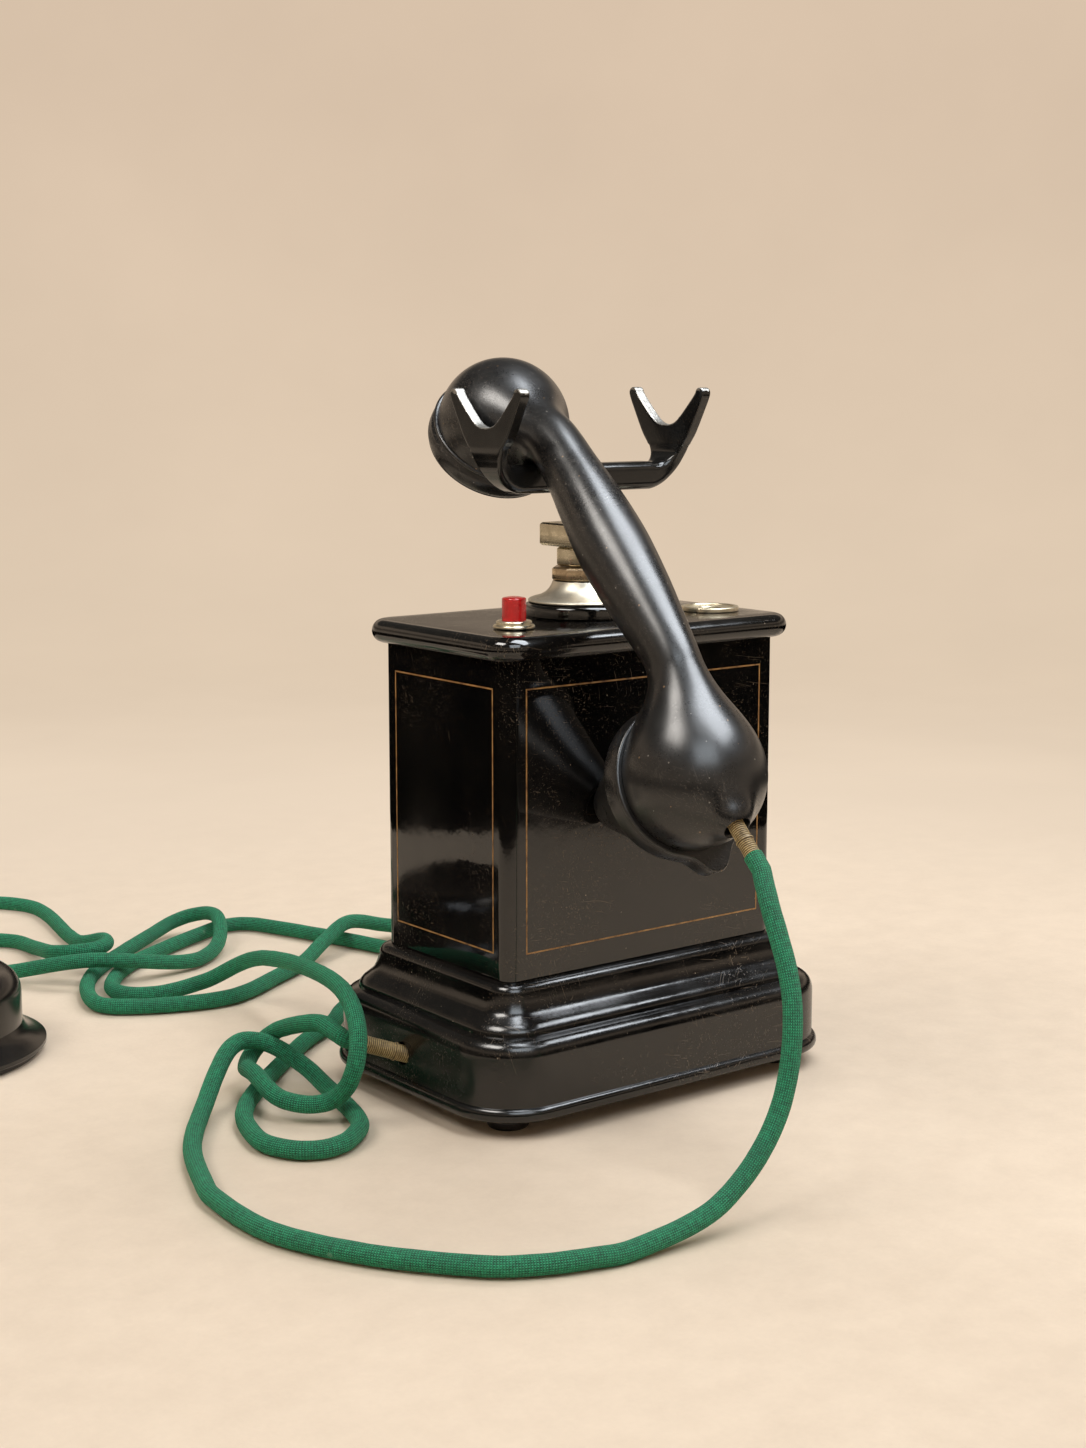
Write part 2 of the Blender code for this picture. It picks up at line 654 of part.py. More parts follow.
def make_base(case, surfaces):
    """The moulded base, its plate and the feet."""
    outer = base_profile()
    inner = inset(outer, BASE_WALL)
    floor = BASE_BOTTOM
    wall_out = BASE_FLARE - BASE_WALL
    upper = [(out, min(up, BASE_TOP - BASE_WALL)) for out, up in inner if up > BASE_BOTTOM + BASE_HEIGHT / 2]
    loop = (
        [(-BASE_TOP_FLANGE, BASE_TOP)]
        + outer
        + [(wall_out, floor)]
        + list(reversed(upper))
        + [(-BASE_TOP_FLANGE, BASE_TOP - BASE_WALL)]
    )
    base = moulding("base_moulding", loop, surfaces["lacquer"], HALF_WIDTH, HALF_DEPTH, BODY_CORNER, loop=True)
    place(base, case)
    wall_x = -HALF_WIDTH - BASE_FLARE
    wall_y = HALF_DEPTH + BASE_FLARE
    left_hole = rod(
        "cut_line_hole",
        CORD_HOLE_RADIUS,
        (wall_x - CUT_OVERRUN, LINE_EXIT_Y, LINE_EXIT_Z),
        (wall_x + BASE_WALL + CUT_OVERRUN, LINE_EXIT_Y, LINE_EXIT_Z),
        surfaces["lacquer"],
    )
    rear_hole = rod(
        "cut_rear_hole",
        CORD_HOLE_RADIUS,
        (REAR_EXIT_X, wall_y + CUT_OVERRUN, REAR_EXIT_Z),
        (REAR_EXIT_X, wall_y - BASE_WALL - CUT_OVERRUN, REAR_EXIT_Z),
        surfaces["lacquer"],
    )
    cut(base, left_hole)
    cut(base, rear_hole)

    plate_out = wall_out - SEAT_GAP
    plate = moulding(
        "base_plate",
        [(plate_out, BASE_BOTTOM), (plate_out, PLATE_TOP)],
        surfaces["enamel"],
        HALF_WIDTH,
        HALF_DEPTH,
        BODY_CORNER,
    )
    place(plate, case)
    foot_x = HALF_WIDTH + BASE_FLARE - FOOT_INSET
    foot_y = HALF_DEPTH + BASE_FLARE - FOOT_INSET
    foot_top = BASE_BOTTOM - SEAT_GAP
    edge = FOOT_PAD_RADIUS / 8
    profile = (
        (0, 0),
        (FOOT_PAD_RADIUS - edge, 0),
        (FOOT_PAD_RADIUS, edge),
        (FOOT_PAD_RADIUS, FOOT_PAD_HEIGHT),
        (FOOT_RADIUS - edge, FOOT_PAD_HEIGHT + edge / 2),
        (FOOT_RADIUS, FOOT_PAD_HEIGHT + edge),
        (FOOT_RADIUS, foot_top - edge),
        (FOOT_RADIUS - edge, foot_top),
        (0, foot_top),
    )
    for front, side_y in (("front", -1), ("rear", 1)):
        for hand, side_x in (("left", -1), ("right", 1)):
            foot = turned(f"foot_{front}_{hand}", profile, surfaces["dark"], ROUND_SMALL)
            place(foot, case, (side_x * foot_x, side_y * foot_y, 0))


def make_body(case, surfaces):
    """The sheet-metal case with its turned-in flanges, and the lid with its bullnose edge."""
    top, bottom = BODY_TOP, BODY_BOTTOM
    loop = [
        (0, bottom),
        (0, top),
        (-BODY_FLANGE, top),
        (-BODY_FLANGE, top - BODY_WALL),
        (-BODY_WALL, top - BODY_WALL),
        (-BODY_WALL, bottom + BODY_WALL),
        (-BODY_FLANGE, bottom + BODY_WALL),
        (-BODY_FLANGE, bottom),
    ]
    body = moulding("body_shell", loop, surfaces["lacquer"], HALF_WIDTH, HALF_DEPTH, BODY_CORNER, loop=True)
    place(body, case)

    nose = LID_THICKNESS / 2
    lip_out = -BODY_FLANGE - SEAT_GAP
    edge = [
        (LID_OVERHANG - nose + across, LID_BOTTOM + nose + up)
        for across, up in arc((0, 0), nose, -90, 90, 10)
    ]
    profile = [(lip_out - LID_LIP_WIDTH, LID_BOTTOM - LID_LIP_DEPTH), (lip_out, LID_BOTTOM - LID_LIP_DEPTH)]
    profile += [(lip_out, LID_BOTTOM)] + edge
    lid = moulding("lid", profile, surfaces["lacquer"], HALF_WIDTH, HALF_DEPTH, BODY_CORNER)
    place(lid, case)
    below = LID_BOTTOM - LID_LIP_DEPTH - CUT_OVERRUN
    above = LID_TOP + CUT_OVERRUN
    hollow = LID_BOTTOM
    inside = moulding(
        "cut_lid_hollow",
        [(lip_out - LID_LIP_WIDTH, below), (lip_out - LID_LIP_WIDTH, hollow)],
        surfaces["lacquer"],
        HALF_WIDTH,
        HALF_DEPTH,
        BODY_CORNER,
    )
    cut(lid, inside)
    holes = (
        ("cut_guide_hole", 0, 0, BORE_RADIUS),
        ("cut_button_hole", BUTTON_X, BUTTON_Y, BUTTON_RADIUS + SLIDE_GAP + BUTTON_TUBE_WALL + SLIDE_GAP),
        ("cut_socket_hole", SOCKET_X, SOCKET_Y, SOCKET_BORE + SOCKET_TUBE_WALL + SLIDE_GAP),
    )
    for name, x, y, radius in holes:
        cut(lid, rod(name, radius, (x, y, below), (x, y, above), surfaces["lacquer"]))


def make_pillar(case, surfaces):
    """The plinth, the nickel bell, the eight-sided collar and column, and the nut on top."""
    foot = PLINTH_HEIGHT * LIP_SHARE
    plinth_top = PLINTH_BOTTOM + PLINTH_HEIGHT
    plinth = turned(
        "plinth",
        (
            (BORE_RADIUS, PLINTH_BOTTOM),
            (PLINTH_RADIUS, PLINTH_BOTTOM),
            (PLINTH_RADIUS, PLINTH_BOTTOM + foot),
            (PLINTH_RADIUS - foot / 4, plinth_top - foot),
            (PLINTH_RADIUS - foot, plinth_top),
            (BORE_RADIUS, plinth_top),
        ),
        surfaces["enamel"],
        loop=True,
    )
    place(plinth, case)

    rise = BELL_HEIGHT - BELL_LIP_HEIGHT
    sweep = [
        (BELL_NECK_RADIUS + (BELL_LIP_RADIUS - BELL_NECK_RADIUS) * out, BELL_BOTTOM + BELL_LIP_HEIGHT + rise * up)
        for out, up in BELL_PROFILE_SHARES
    ]
    profile = [(BORE_RADIUS, BELL_BOTTOM), (BELL_LIP_RADIUS, BELL_BOTTOM)] + sweep
    bell = turned("bell_flange", profile + [(BORE_RADIUS, BELL_BOTTOM + BELL_HEIGHT)], surfaces["nickel"], loop=True)
    place(bell, case)

    def flats(radius, bottom, height, sides):
        narrow = radius - PILLAR_CHAMFER
        return [
            circle(narrow, bottom, ROUND, sides),
            circle(radius, bottom + PILLAR_CHAMFER, ROUND, sides),
            circle(radius, bottom + height - PILLAR_CHAMFER, ROUND, sides),
            circle(narrow, bottom + height, ROUND, sides),
        ]

    def bored(name, rings, bore, bottom, top, surface):
        rings = [circle(bore, bottom)] + rings + [circle(bore, top)]
        return place(skin(name, rings, surface, loop=True), case)

    bored(
        "collar",
        flats(COLLAR_HALF_WIDTH, COLLAR_BOTTOM, COLLAR_HEIGHT, 8),
        BORE_RADIUS,
        COLLAR_BOTTOM,
        COLLAR_BOTTOM + COLLAR_HEIGHT,
        surfaces["nickel"],
    )
    spigot = [circle(GUIDE_RADIUS, GUIDE_BOTTOM), circle(GUIDE_RADIUS, COLUMN_BOTTOM)]
    bored(
        "column",
        spigot + flats(COLUMN_HALF_WIDTH, COLUMN_BOTTOM, COLUMN_HEIGHT, 8),
        ROD_BORE,
        GUIDE_BOTTOM,
        COLUMN_BOTTOM + COLUMN_HEIGHT,
        surfaces["nickel"],
    )
    bored(
        "pillar_nut",
        flats(PILLAR_NUT_HALF_WIDTH, NUT_BOTTOM, PILLAR_NUT_HEIGHT, 4),
        ROD_BORE,
        NUT_BOTTOM,
        NUT_TOP,
        surfaces["nickel"],
    )
    soften(bpy.data.objects["pillar_nut"], PILLAR_CHAMFER, 1, math.radians(60))


def bar_sections():
    """Half of the cradle bar: (middle x, middle z, lean, width, thickness) from the centre out to the fork."""
    sections = [(0.0, BAR_MIDDLE, 0.0, BAR_DEPTH, BAR_HEIGHT)]
    sections.append((BAR_HALF_RUN * 3 / 4, BAR_MIDDLE, 0.0, BAR_DEPTH, BAR_HEIGHT))
    for i in range(BEND_STEPS + 1):
        share = i / BEND_STEPS
        lean = math.pi / 2 * share
        sections.append((
            BAR_HALF_RUN + BEND_RADIUS * math.sin(lean),
            BAR_MIDDLE + BEND_RADIUS * (1 - math.cos(lean)),
            lean,
            BAR_DEPTH + (BEND_WIDTH - BAR_DEPTH) * share,
            BAR_HEIGHT + (FORK_THICKNESS - BAR_HEIGHT) * min(1.0, share * 4 / 3),
        ))
    return sections


def bar_ring(x, z, lean, width, thickness, side):
    """A rounded rectangle square to the bar's path."""
    edge = min(BAR_EDGE, thickness / 2 - LEAST_CORNER, width / 2 - LEAST_CORNER)
    points = []
    for across, up, _ in rounded_rectangle(width / 2, thickness / 2, edge, 0):
        points.append((side * (x - up * math.sin(lean)), across, z + up * math.cos(lean)))
    return points


def fork_outline():
    """The fork's outline in (Y, Z), one side after the other."""
    half = [
        (FORK_HALF_SPREAD * across, FORK_BOTTOM + FORK_HEIGHT * up)
        for across, up in FORK_OUTER_SHARES + FORK_TIP_SHARES + FORK_INNER_SHARES
    ]
    return half + [(-across, up) for across, up in reversed(half)]


def make_cradle(cradle, surfaces):
    """The enamelled bar with its two forks, on the sprung rod."""
    sections = bar_sections()
    rings = [bar_ring(*section, -1) for section in reversed(sections)]
    rings += [bar_ring(*section, 1) for section in sections[1:]]
    bar = place(skin("cradle", rings, surfaces["enamel"]), cradle)
    outline = fork_outline()
    for hand, side in (("left", -1), ("right", 1)):
        near = side * FORK_X - FORK_THICKNESS / 2
        far = side * FORK_X + FORK_THICKNESS / 2
        plate = skin(f"{hand}_fork_plate", [[(x, y, z) for y, z in outline] for x in (near, far)], surfaces["enamel"])
        soften(plate, FORK_EDGE, 1)
        join(bar, plate)
    boss_bottom = BAR_BOTTOM - BAR_BOSS_HEIGHT
    join(bar, rod("bar_boss", BAR_BOSS_RADIUS, (0, 0, boss_bottom), (0, 0, BAR_MIDDLE), surfaces["enamel"]))
    socket = rod("cut_rod_seat", ROD_BORE, (0, 0, boss_bottom - CUT_OVERRUN), (0, 0, BAR_MIDDLE), surfaces["enamel"])
    cut(bar, socket)

    tail = SPRING_FLOOR + SEAT_GAP
    stem = rod("hook_rod", ROD_RADIUS, (0, 0, tail), (0, 0, BAR_MIDDLE - SEAT_GAP), surfaces["steel"])
    place(stem, cradle)
    nut = turned(
        "rod_stop_nut",
        (
            (ROD_BORE, STOP_NUT_BOTTOM),
            (STOP_NUT_RADIUS, STOP_NUT_BOTTOM),
            (STOP_NUT_RADIUS, STOP_NUT_TOP),
            (ROD_BORE, STOP_NUT_TOP),
        ),
        surfaces["brass"],
        ROUND_SMALL,
        loop=True,
    )
    place(nut, cradle)


def make_contacts(case, prefix, x, y, levels, reach, surfaces):
    """An insulating block hung from the lid at (x, y), with one leaf spring at each level that reaches towards -Y."""
    top = LID_BOTTOM - SEAT_GAP
    bottom = min(levels) - CONTACT_BLOCK_FOOT
    middle = (x, y + CONTACT_BLOCK_DEPTH / 2, (top + bottom) / 2)
    size = (CONTACT_BLOCK_WIDTH, CONTACT_BLOCK_DEPTH, top - bottom)
    seat = place(block(f"{prefix}_contact_block", size, middle, surfaces["ebonite"]), case)
    for number, level in enumerate(levels, 1):
        inner = y + CONTACT_BLOCK_DEPTH / 2
        leaf_middle = (x, (inner + y - reach) / 2, level - LEAF_THICKNESS / 2)
        leaf_size = (LEAF_WIDTH, inner - y + reach, LEAF_THICKNESS)
        leaf = block(f"{prefix}_contact_{number}", leaf_size, leaf_middle, surfaces["brass"])
        place(leaf, case)
        slot_size = [side + 2 * SLIDE_GAP for side in leaf_size]
        cut(seat, block(f"cut_{prefix}_slot_{number}", slot_size, leaf_middle, surfaces["ebonite"]))


def make_switch(case, surfaces):
    """The bracket under the lid, the spring that lifts the rod, and the contacts that its nut closes."""
    leg_top = LID_BOTTOM - SEAT_GAP
    plate_top = SPRING_FLOOR
    plate_bottom = plate_top - BRACKET_THICKNESS
    outer = BRACKET_HALF_WIDTH + BRACKET_THICKNESS
    outline = (
        (-outer, leg_top),
        (-outer, plate_bottom),
        (outer, plate_bottom),
        (outer, leg_top),
        (BRACKET_HALF_WIDTH, leg_top),
        (BRACKET_HALF_WIDTH, plate_top),
        (-BRACKET_HALF_WIDTH, plate_top),
        (-BRACKET_HALF_WIDTH, leg_top),
    )
    half = BRACKET_DEPTH / 2
    bracket = skin("switch_bracket", [[(x, y, z) for x, z in outline] for y in (-half, half)], surfaces["steel"])
    place(bracket, case)
    coil = spring(
        "hook_spring",
        HOOK_SPRING_RADIUS,
        HOOK_SPRING_WIRE,
        HOOK_SPRING_LENGTH,
        HOOK_SPRING_TURNS,
        surfaces["steel"],
    )
    place(coil, case, (0, 0, SPRING_FLOOR + SEAT_GAP))
    side = max(half, STOP_NUT_RADIUS) + 2 * SEAT_GAP
    reach = side - GUIDE_RADIUS - SLIDE_GAP
    lower = GUIDE_BOTTOM + LEAF_THICKNESS
    make_contacts(case, "hook", 0, side, (lower, lower + CONTACT_GAP), reach, surfaces)


def make_button(case, button, surfaces):
    """The red push button in its domed nickel ring, with its spring."""
    at = (BUTTON_X, BUTTON_Y, 0)
    bore = BUTTON_RADIUS + SLIDE_GAP
    tube_radius = bore + BUTTON_TUBE_WALL
    seat = LID_TOP + SEAT_GAP
    cap_bottom = seat + BUTTON_RING_HEIGHT - BUTTON_SKIRT
    floor_top = cap_bottom - BUTTON_SPRING_LENGTH - 2 * SEAT_GAP
    floor_bottom = floor_top - BUTTON_FLOOR
    hole = BUTTON_ROD_RADIUS + SLIDE_GAP
    step = BUTTON_RING_HEIGHT / 3
    ring = turned(
        "button_ring",
        (
            (hole, floor_bottom),
            (tube_radius, floor_bottom),
            (tube_radius, seat),
            (BUTTON_RING_RADIUS, seat),
            (BUTTON_RING_RADIUS, seat + step / 2),
            (BUTTON_RING_RADIUS - step / 2, seat + step),
            (BUTTON_RING_RADIUS - step, seat + step),
            (bore + step * 3 / 2, seat + 2 * step),
            (bore + step, seat + BUTTON_RING_HEIGHT),
            (bore, seat + BUTTON_RING_HEIGHT),
            (bore, floor_top),
            (hole, floor_top),
        ),
        surfaces["nickel"],
        ROUND_MIDDLE,
        loop=True,
    )
    place(ring, case, at)
    top = seat + BUTTON_RING_HEIGHT + BUTTON_PROUD
    cap = turned(
        "button_cap",
        (
            (0, cap_bottom),
            (BUTTON_RADIUS, cap_bottom),
            (BUTTON_RADIUS, top - BUTTON_EDGE),
            (BUTTON_RADIUS - BUTTON_EDGE / 3, top - BUTTON_EDGE / 3),
            (BUTTON_RADIUS - BUTTON_EDGE, top),
            (0, top + BUTTON_EDGE / 2),
        ),
        surfaces["red"],
        ROUND_MIDDLE,
    )
    place(cap, button)
    plunger = rod(
        "button_rod",
        BUTTON_ROD_RADIUS,
        (0, 0, cap_bottom - SEAT_GAP),
        (0, 0, floor_bottom - BUTTON_ROD_REACH),
        surfaces["brass"],
        ROUND_TINY,
    )
    place(plunger, button)
    coil = spring(
        "button_spring",
        BUTTON_RADIUS - SLIDE_GAP,
        BUTTON_SPRING_WIRE,
        BUTTON_SPRING_LENGTH,
        BUTTON_SPRING_TURNS,
        surfaces["steel"],
    )
    place(coil, case, (BUTTON_X, BUTTON_Y, floor_top + SEAT_GAP))
    upper = floor_bottom - BUTTON_ROD_REACH - BUTTON_TRAVEL - SEAT_GAP
    side = BUTTON_Y + tube_radius + SLIDE_GAP
    reach = tube_radius + BUTTON_ROD_RADIUS
    make_contacts(case, "button", BUTTON_X, side, (upper, upper - CONTACT_GAP), reach, surfaces)


def make_cords(case, handset, surfaces):
    """The two braided cords, their thread whippings, the rear bush and the round box that the line ends in."""
    boss_way = Vector((0, math.cos(BOSS_TURN), math.sin(BOSS_TURN)))
    boss_end = Vector((0, BOSS_Y, BOSS_Z))
    start = boss_end - boss_way * (BOSS_BORE_DEPTH - SEAT_GAP)
    end = boss_end + boss_way * HANDSET_WHIPPING_LENGTH
    place(rod("handset_whipping", HANDSET_WHIPPING_RADIUS, start, end, surfaces["thread"]), handset)

    wall_y = HALF_DEPTH + BASE_FLARE
    turn = Matrix.Rotation(-HANDSET_YAW, 3, "Z") @ Matrix.Rotation(-HANDSET_LEAN, 3, "Y")
    handset_end = Vector(EAR_CENTRE) + turn @ (end + boss_way * CORD_END_GAP)
    bush_end = (REAR_EXIT_X, wall_y + BUSH_LENGTH + CORD_END_GAP, REAR_EXIT_Z)
    route = (handset_end, *HANDSET_CORD_POINTS, bush_end)
    points = spaced(smooth_points(route, CORD_SPANS), HANDSET_CORD_STEP)
    points = with_leads(points, turn @ boss_way, Vector((0, -1, 0)))
    place(tube("handset_cord", points, CORD_DIAMETER, surfaces["cord"]), case)
    line_start = Vector(LINE_CORD_POINTS[0])
    exit_point = Vector((-HALF_WIDTH - BASE_FLARE, LINE_EXIT_Y, LINE_EXIT_Z))
    way = (line_start - exit_point).normalized()
    start = exit_point - way * LINE_WHIPPING_INSIDE
    end = line_start - way * CORD_END_GAP
    place(rod("line_whipping", LINE_WHIPPING_RADIUS, start, end, surfaces["thread"]), case)
    box_side = (ROSETTE_X, ROSETTE_Y + ROSETTE_DRUM_RADIUS + CORD_END_GAP, ROSETTE_CORD_Z)
    points = spaced(smooth_points((*LINE_CORD_POINTS, box_side), CORD_SPANS), LINE_CORD_STEP)
    points = with_leads(points, way, Vector((0, -1, 0)))
    place(tube("line_cord", points, CORD_DIAMETER, surfaces["cord"]), case)

    inner = CORD_HOLE_RADIUS - SLIDE_GAP
    bush = turned(
        "rear_cord_bush",
        (
            (0, -BASE_WALL),
            (inner, -BASE_WALL),
            (inner, SEAT_GAP),
            (BUSH_RADIUS, SEAT_GAP),
            (BUSH_RADIUS, BUSH_FLANGE),
            (inner, BUSH_FLANGE + BUSH_FLANGE / 2),
            (inner, BUSH_LENGTH),
            (0, BUSH_LENGTH),
        ),
        surfaces["dark"],
        ROUND_SMALL,
    )
    place(bush, case, (REAR_EXIT_X, wall_y, REAR_EXIT_Z), (-math.pi / 2, 0, 0))

    foot_top = ROSETTE_FOOT_HEIGHT
    at = (ROSETTE_X, ROSETTE_Y, 0)
    foot = turned(
        "line_box_base",
        ((0, 0), (ROSETTE_RADIUS - foot_top, 0), (ROSETTE_RADIUS - foot_top, foot_top), (0, foot_top)),
        surfaces["dark"],
    )
    place(foot, case, at)
    low = foot_top + SEAT_GAP
    shoulder = [
        (ROSETTE_DRUM_RADIUS - ROSETTE_SHOULDER + across, ROSETTE_HEIGHT - ROSETTE_SHOULDER + up)
        for across, up in arc((0, 0), ROSETTE_SHOULDER, 0, 90, SHOULDER_STEPS)
    ]
    flare = [
        (ROSETTE_DRUM_RADIUS + (ROSETTE_RADIUS - ROSETTE_DRUM_RADIUS) * out, low + ROSETTE_FLARE_HEIGHT * up)
        for out, up in BOX_FLARE_SHARES
    ]
    cover = turned("line_box_cover", [(0, low)] + flare + shoulder + [(0, ROSETTE_HEIGHT)], surfaces["dark"])
    place(cover, case, at)


def make_socket(case, surfaces):
    """The dished nickel socket on the right of the lid, with its slotted insert."""
    at = (SOCKET_X, SOCKET_Y, 0)
    seat = LID_TOP + SEAT_GAP
    rim = seat + SOCKET_HEIGHT
    tube_radius = SOCKET_BORE + SOCKET_TUBE_WALL
    tube_bottom = LID_BOTTOM - SEAT_GAP
    dish = seat + SOCKET_HEIGHT / 2
    round_edge = SOCKET_HEIGHT / 3
    ring = turned(
        "socket_ring",
        (
            (SOCKET_BORE, tube_bottom),
            (tube_radius, tube_bottom),
            (tube_radius, seat),
            (SOCKET_RADIUS, seat),
            (SOCKET_RADIUS, rim - round_edge),
            (SOCKET_RADIUS - round_edge, rim),
            (SOCKET_DISH_RADIUS + round_edge, rim),
            (SOCKET_DISH_RADIUS, rim - round_edge),
            ((SOCKET_DISH_RADIUS + SOCKET_BORE) / 2, dish),
            (SOCKET_BORE, dish),
        ),
        surfaces["nickel"],
        ROUND_MIDDLE,
        loop=True,
    )
    place(ring, case, at)
    top = dish - SOCKET_INSERT_DROP
    insert = turned(
        "socket_insert",
        (
            (0, tube_bottom),
            (SOCKET_BORE - SLIDE_GAP, tube_bottom),
            (SOCKET_BORE - SLIDE_GAP, top),
            (0, top),
        ),
        surfaces["dark"],
        ROUND_SMALL,
    )
    place(insert, case, at)
    slot = block(
        "cut_insert_slot",
        (SOCKET_BORE * 3, SOCKET_SLOT_WIDTH, SOCKET_SLOT_DEPTH * 2),
        (SOCKET_X, SOCKET_Y, top),
        surfaces["dark"],
    )
    cut(insert, slot)


def make_ringer(case, armature, surfaces):
    """The board, the two-coil ringer with its gongs, and the armature that carries the hammer."""
    board_out = -BODY_WALL - BOARD_CLEARANCE
    board = moulding(
        "mounting_board",
        [(board_out, BOARD_BOTTOM), (board_out, BOARD_TOP)],
        surfaces["wood"],
        HALF_WIDTH,
        HALF_DEPTH,
        BODY_CORNER,
    )
    place(board, case)
    yoke_bottom = BOARD_TOP + SEAT_GAP
    yoke_top = yoke_bottom + YOKE_THICKNESS
    core_top = yoke_top + COIL_HEIGHT + 2 * SEAT_GAP
    pivot_z = core_top + ARMATURE_GAP + ARMATURE_THICKNESS / 2
    half_length = COIL_SPACING / 2 + COIL_RADIUS + YOKE_OVERHANG
    yoke = block(
        "ringer_yoke",
        (2 * half_length, 2 * COIL_RADIUS, YOKE_THICKNESS),
        (0, RINGER_Y, (yoke_bottom + yoke_top) / 2),
        surfaces["steel"],
    )
    place(yoke, case)
    for hand, side in (("left", -1), ("right", 1)):
        x = side * COIL_SPACING / 2
        join(yoke, rod(
            f"{hand}_core",
            COIL_CORE_RADIUS,
            (x, RINGER_Y, yoke_bottom + YOKE_THICKNESS / 2),
            (x, RINGER_Y, core_top),
            surfaces["steel"],
            ROUND_TINY,
        ))
        bore = COIL_CORE_RADIUS + SLIDE_GAP
        low = yoke_top + SEAT_GAP
        high = low + COIL_HEIGHT
        waist = COIL_RADIUS - COIL_CHEEK / 2
        coil = turned(
            f"ringer_coil_{hand}",
            (
                (bore, low),
                (COIL_RADIUS, low),
                (COIL_RADIUS, low + COIL_CHEEK),
                (waist, low + COIL_CHEEK),
                (waist, high - COIL_CHEEK),
                (COIL_RADIUS, high - COIL_CHEEK),
                (COIL_RADIUS, high),
                (bore, high),
            ),
            surfaces["copper"],
            ROUND_SMALL,
            loop=True,
        )
        place(coil, case, (x, RINGER_Y, 0))
    post_top = pivot_z - PIVOT_RADIUS - SEAT_GAP
    post_foot = yoke_top - YOKE_THICKNESS / 2
    post = block(
        "pivot_post",
        (PIVOT_POST_WIDTH, 2 * COIL_RADIUS, post_top - post_foot),
        (0, RINGER_Y, (post_top + post_foot) / 2),
        surfaces["steel"],
    )
    join(yoke, post)

    beam = block(
        "ringer_armature",
        (COIL_SPACING + 2 * COIL_CORE_RADIUS, ARMATURE_DEPTH, ARMATURE_THICKNESS),
        (0, 0, 0),
        surfaces["steel"],
    )
    place(beam, armature)
    pin_half = ARMATURE_DEPTH / 2 + PIVOT_OVERHANG
    pin = rod("pivot_pin", PIVOT_RADIUS, (0, -pin_half, 0), (0, pin_half, 0), surfaces["steel"])
    join(beam, pin)
    join(beam, rod("hammer_rod", HAMMER_ROD_RADIUS, (0, 0, 0), (0, 0, HAMMER_REACH), surfaces["steel"], ROUND_TINY))
    ball = [
        (HAMMER_BALL_RADIUS * math.cos(angle), HAMMER_REACH + HAMMER_BALL_RADIUS * math.sin(angle))
        for angle in (math.radians(a) for a in range(-60, 61, 20))
    ]
    profile = [(0, HAMMER_REACH - HAMMER_BALL_RADIUS)] + ball + [(0, HAMMER_REACH + HAMMER_BALL_RADIUS)]
    join(beam, turned("hammer_ball", profile, surfaces["brass"], ROUND_TINY))
    armature.location = (0, RINGER_Y, pivot_z)

    gong_x = HAMMER_BALL_RADIUS + HAMMER_SWING_GAP + GONG_RADIUS
    gong_z = pivot_z + HAMMER_REACH - GONG_HEIGHT / 4
    for hand, side in (("left", -1), ("right", 1)):
        at = (side * gong_x, RINGER_Y, 0)
        crown = gong_z + GONG_HEIGHT
        hole = GONG_POST_RADIUS + SLIDE_GAP
        outside = [(GONG_RADIUS * out, gong_z + GONG_HEIGHT * up) for out, up in GONG_PROFILE_SHARES]
        inside = [(out - GONG_WALL, min(up, crown - GONG_WALL)) for out, up in outside]
        gong = turned(
            f"gong_{hand}",
            outside + [(hole, crown), (hole, crown - GONG_WALL)] + list(reversed(inside)),
            surfaces["nickel"],
            ROUND_SMALL,
            loop=True,
        )
        place(gong, case, at)
        shoulder = crown - GONG_WALL - SEAT_GAP
        top = crown + SEAT_GAP
        post = turned(
            f"gong_post_{hand}",
            (
                (0, BOARD_TOP + SEAT_GAP),
                (GONG_NUT_RADIUS, BOARD_TOP + SEAT_GAP),
                (GONG_NUT_RADIUS, shoulder),
                (GONG_POST_RADIUS, shoulder),
                (GONG_POST_RADIUS, top),
                (GONG_NUT_RADIUS, top),
                (GONG_NUT_RADIUS, top + GONG_NUT_HEIGHT),
                (0, top + GONG_NUT_HEIGHT),
            ),
            surfaces["brass"],
            ROUND_TINY,
        )
        place(post, case, at)


